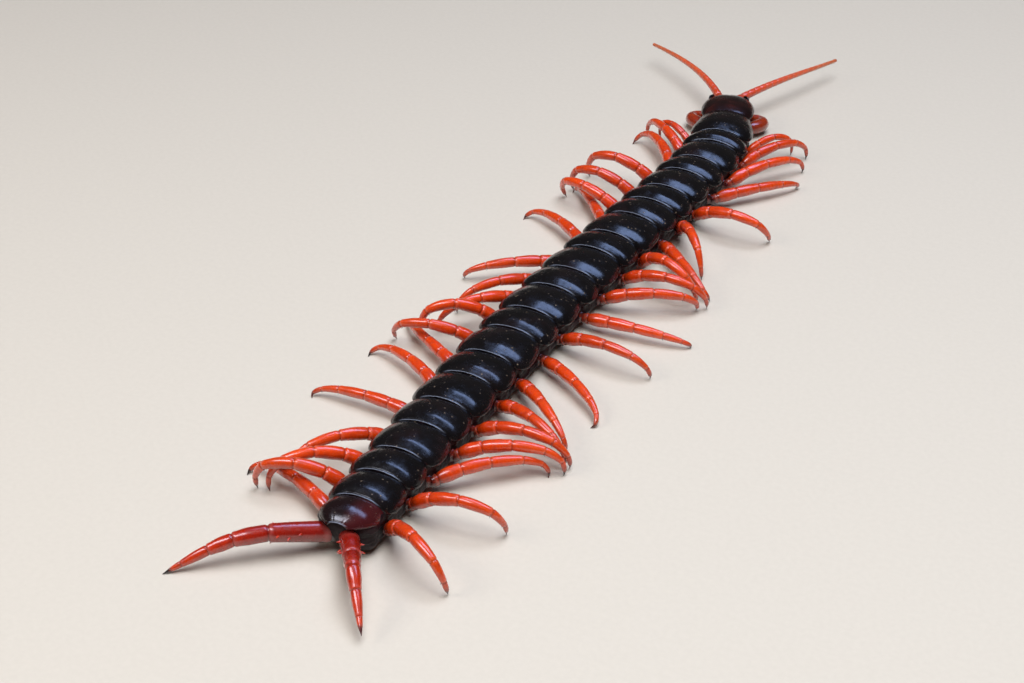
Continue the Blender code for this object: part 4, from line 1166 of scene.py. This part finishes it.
# Chitin of the poison claws: as the legs', thicker and darker, and polished.
claw_chitin = limb_finish("poison_claw_chitin_polished",
                          ((0.0, "7C260E"), (0.3, "963010"), (0.62, "8E2C10"), (0.80, "54190C"),
                           (0.90, "160908")),
                          mottle="661C0A", pale_hex="C88464", roughness=(0.22, 0.34))
depths = np.linspace(CLAW_BASE_RINGS[0][0], CLAW_BASE_RINGS[-1][0], 40)
half, low, high = (even_curve([(row[0], row[k]) for row in CLAW_BASE_RINGS], depths) for k in (1, 2, 3))
ends = np.sqrt(np.clip(1 - ((depths - 7.0).clip(0) / 1.15) ** 2, 0.1, 1))
middle = (low + high) / 2
guides = ((0.0 * half, low + 0.18), (0.10 * half, low + 0.05), (0.5 * half, low), (0.82 * half, low + 0.15),
          (half, middle - 0.5), (half, middle + 0.5), (0.82 * half, high - 0.1), (0.4 * half, high),
          (0.0 * half, high))
rings = section_rings(TRUNK + depths, guides, SECTION_STEPS, middle, ends)
claw_plate = ring_piece("poison_claw_plate", rings, claw_chitin)
paint(claw_plate, along=0.15, pale=0.0, tone=0.85)
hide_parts("poison_claw_base")
lobes, teeth = [], []
for side in (1, -1):
    start, end = (on_trunk(TRUNK + ahead, side * out, z) for ahead, out, z in (LOBE_ROOT, LOBE_TIP))
    depths = np.linspace(0, 1, LOBE_RINGS)
    lobes.append(limb_line(start + (end - start) * depths[:, None], np.interp(depths, (0, 1), LOBE_RADII),
                           0.35 + 0.35 * depths, tone=0.9))
    for k in range(TEETH):
        spot = on_trunk(TRUNK + TOOTH_STATION - 0.1, side * (0.42 + TOOTH_STEP * k), LOBE_TIP[2])
        teeth.append((spot, toward(WHOLE, -side * TOOTH_TURN * k), TOOTH_LENGTH, 0.0))
lobe_pair = limb_piece("tooth_lobes", lobes, LOBE_SIDES, claw_chitin)
tooth_row = thorn_piece("teeth", teeth, TOOTH_SIDES, TOOTH_SLIMNESS, thorn_chitin)
shares, radii, pale, shades = limb_profile(CLAW_JOINTS, CLAW_GIRTHS, waist=0.90, flare=0.03,
                                           before=(-0.10, -0.06, -0.03, -0.01))
for side, word in SIDES:
    station = TRUNK + CLAW_ROOT_STATION
    root = on_trunk(station, side * (CLAW_ROOT_SIDE + JOIN_GAP), CLAW_Z)
    tip = on_trunk(TRUNK + CLAW_TIP[0], side * CLAW_TIP[1], CLAW_TIP[2])
    arrive = toward(station, side * CLAW_ARRIVE)
    line = swung_line(root, toward(station, side * CLAW_LEAVE), tip, arrive, CLAW_LENGTH)
    limb = limb_line(at_shares(line, shares), radii, shares.clip(0, 1), pale, shades)
    claw = limb_piece("poison_claw_shell_" + word, [limb], CLAW_SIDES, claw_chitin)
    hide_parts("poison_claw_" + word)

# Eyes: four small black domes, polished like lenses, on a low dark patch at each side of
# the head in front.
EYE_TURN = 39.0
EYE_PATCH = (1.15, 0.80, 0.26)  # half length, half height, half depth
EYE_SPOTS = ((0.55, 0.30), (-0.35, 0.36), (0.20, -0.34), (-0.60, -0.30))
EYE_RADIUS = 0.30
EYE_SUNK = 0.42
# Cuticle over an eye: clear and glassy over a black ground.
lens, tree, _, _, tint = clouded_finish("eye_lens_black", 900.0, 2.0, ((0.3, "050506"), (0.7, "120A08")))
end_finish(tree, {"IOR": 1.5, "Roughness": 0.06, "Coat Weight": 0.6, "Coat Roughness": 0.03},
           {"Base Color": tint})
for side, word in SIDES:
    low_corner, high_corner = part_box("eyes_" + word)
    ahead = Vector(toward(WHOLE, side * EYE_TURN))
    up = Vector((0, 0, 1))
    out = ahead.cross(up).normalized() * side
    centre = (low_corner + high_corner) / 2 - out * EYE_SUNK * MM
    shape = bmesh.new()
    domes = [((0.0, 0.0, 0.0), EYE_PATCH)]
    domes += [((x, y, EYE_PATCH[2] / 2), (EYE_RADIUS,) * 3) for x, y in EYE_SPOTS]
    for spot, sizes in domes:
        for v in bmesh.ops.create_icosphere(shape, subdivisions=3, radius=1.0)["verts"]:
            a, b, c = (v.co[k] * sizes[k] + spot[k] for k in range(3))
            v.co = centre + (ahead * a + up * b + out * c) * MM
    mesh = bpy.data.meshes.new("eyes_" + word)
    shape.to_mesh(mesh)
    shape.free()
    eyes = finish_piece("eye_group_" + word, mesh, lens)
    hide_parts("eyes_" + word)

# Studio: a plain pale floor of matt board in a dim room. Frosted screens overhead light the
# model and aren't mirrored. Two strips show in its polish alone: a bluish one high beyond
# the head in the plates' rear slopes, and a white one high at the left along the legs.
FLOOR_HALF = 3.0
# Paper board: matt and nearly even, with fibres drawn as coarse as 1 mm.
board, tree, _, _, tint = clouded_finish("studio_board_matt", 900.0, 3.0,
                                         ((0.3, "C4BFB6"), (0.7, "C7C2B9")))
end_finish(tree, {"Roughness": 0.85}, {"Base Color": tint})
floor_mesh = bpy.data.meshes.new("floor")
floor_corners = [(x * FLOOR_HALF, y * FLOOR_HALF, 0) for x, y in ((-1, -1), (1, -1), (1, 1), (-1, 1))]
floor_mesh.from_pydata(floor_corners, [], [(0, 1, 2, 3)])
floor_mesh.materials.append(board)
floor = in_scene("floor", floor_mesh)

CAMERA_AT = (151.7, -346.5, 218.0)
CAMERA_DOWN = 31.66
CAMERA_TURN = 26.0
CAMERA_PIXELS = 2000.0  # its focal length, in pixels of the picture
PICTURE_PIXELS = 1024
SENSOR_WIDTH = 36.0
ROOM_LIGHT = 0.11
# Name, place, sides of the panel in metres, power, colour, and whether it is a mirrored strip
LIGHTS = (
    ("sky_strip", (130, 250, 680), 0.66, 0.26, 3.6, "A8C4FF", True),
    ("left_strip", (-280, -330, 680), 0.56, 0.20, 4.2, "EEF0FF", True),
    ("high_screen", (140, 80, 760), 0.50, 0.50, 5.0, "F4F6FF", False),
    ("back_screen", (180, -300, 700), 0.45, 0.45, 4.4, "FFFFFF", False),
    ("low_screen", (-420, -420, 420), 0.35, 0.35, 2.0, "FFF2E4", False),
)
for name, at, width, depth, power, hexa, strip in LIGHTS:
    lamp = bpy.data.lights.new(name, "AREA")
    lamp.shape = "RECTANGLE"
    lamp.size, lamp.size_y = width, depth
    lamp.energy = power
    lamp.color = linear(hexa)[:3]
    holder = in_scene(name, lamp)
    holder.location = Vector(at) * MM
    holder.visible_glossy = strip
    holder.visible_diffuse = not strip
room = bpy.data.worlds.new("dim_room")
room.use_nodes = True
backdrop = room.node_tree.nodes["Background"]
backdrop.inputs["Color"].default_value = linear("B6B2AC")
backdrop.inputs["Strength"].default_value = ROOM_LIGHT
bpy.context.scene.world = room
bpy.context.scene.view_settings.view_transform = "Standard"
view = bpy.data.cameras.new("photo_view")
view.sensor_width = SENSOR_WIDTH
view.lens = CAMERA_PIXELS / PICTURE_PIXELS * SENSOR_WIDTH
view.clip_start = 0.01
camera = in_scene("photo_view", view)
camera.location = Vector(CAMERA_AT) * MM
camera.rotation_euler = (math.radians(90 - CAMERA_DOWN), 0.0, math.radians(CAMERA_TURN))
bpy.context.scene.camera = camera
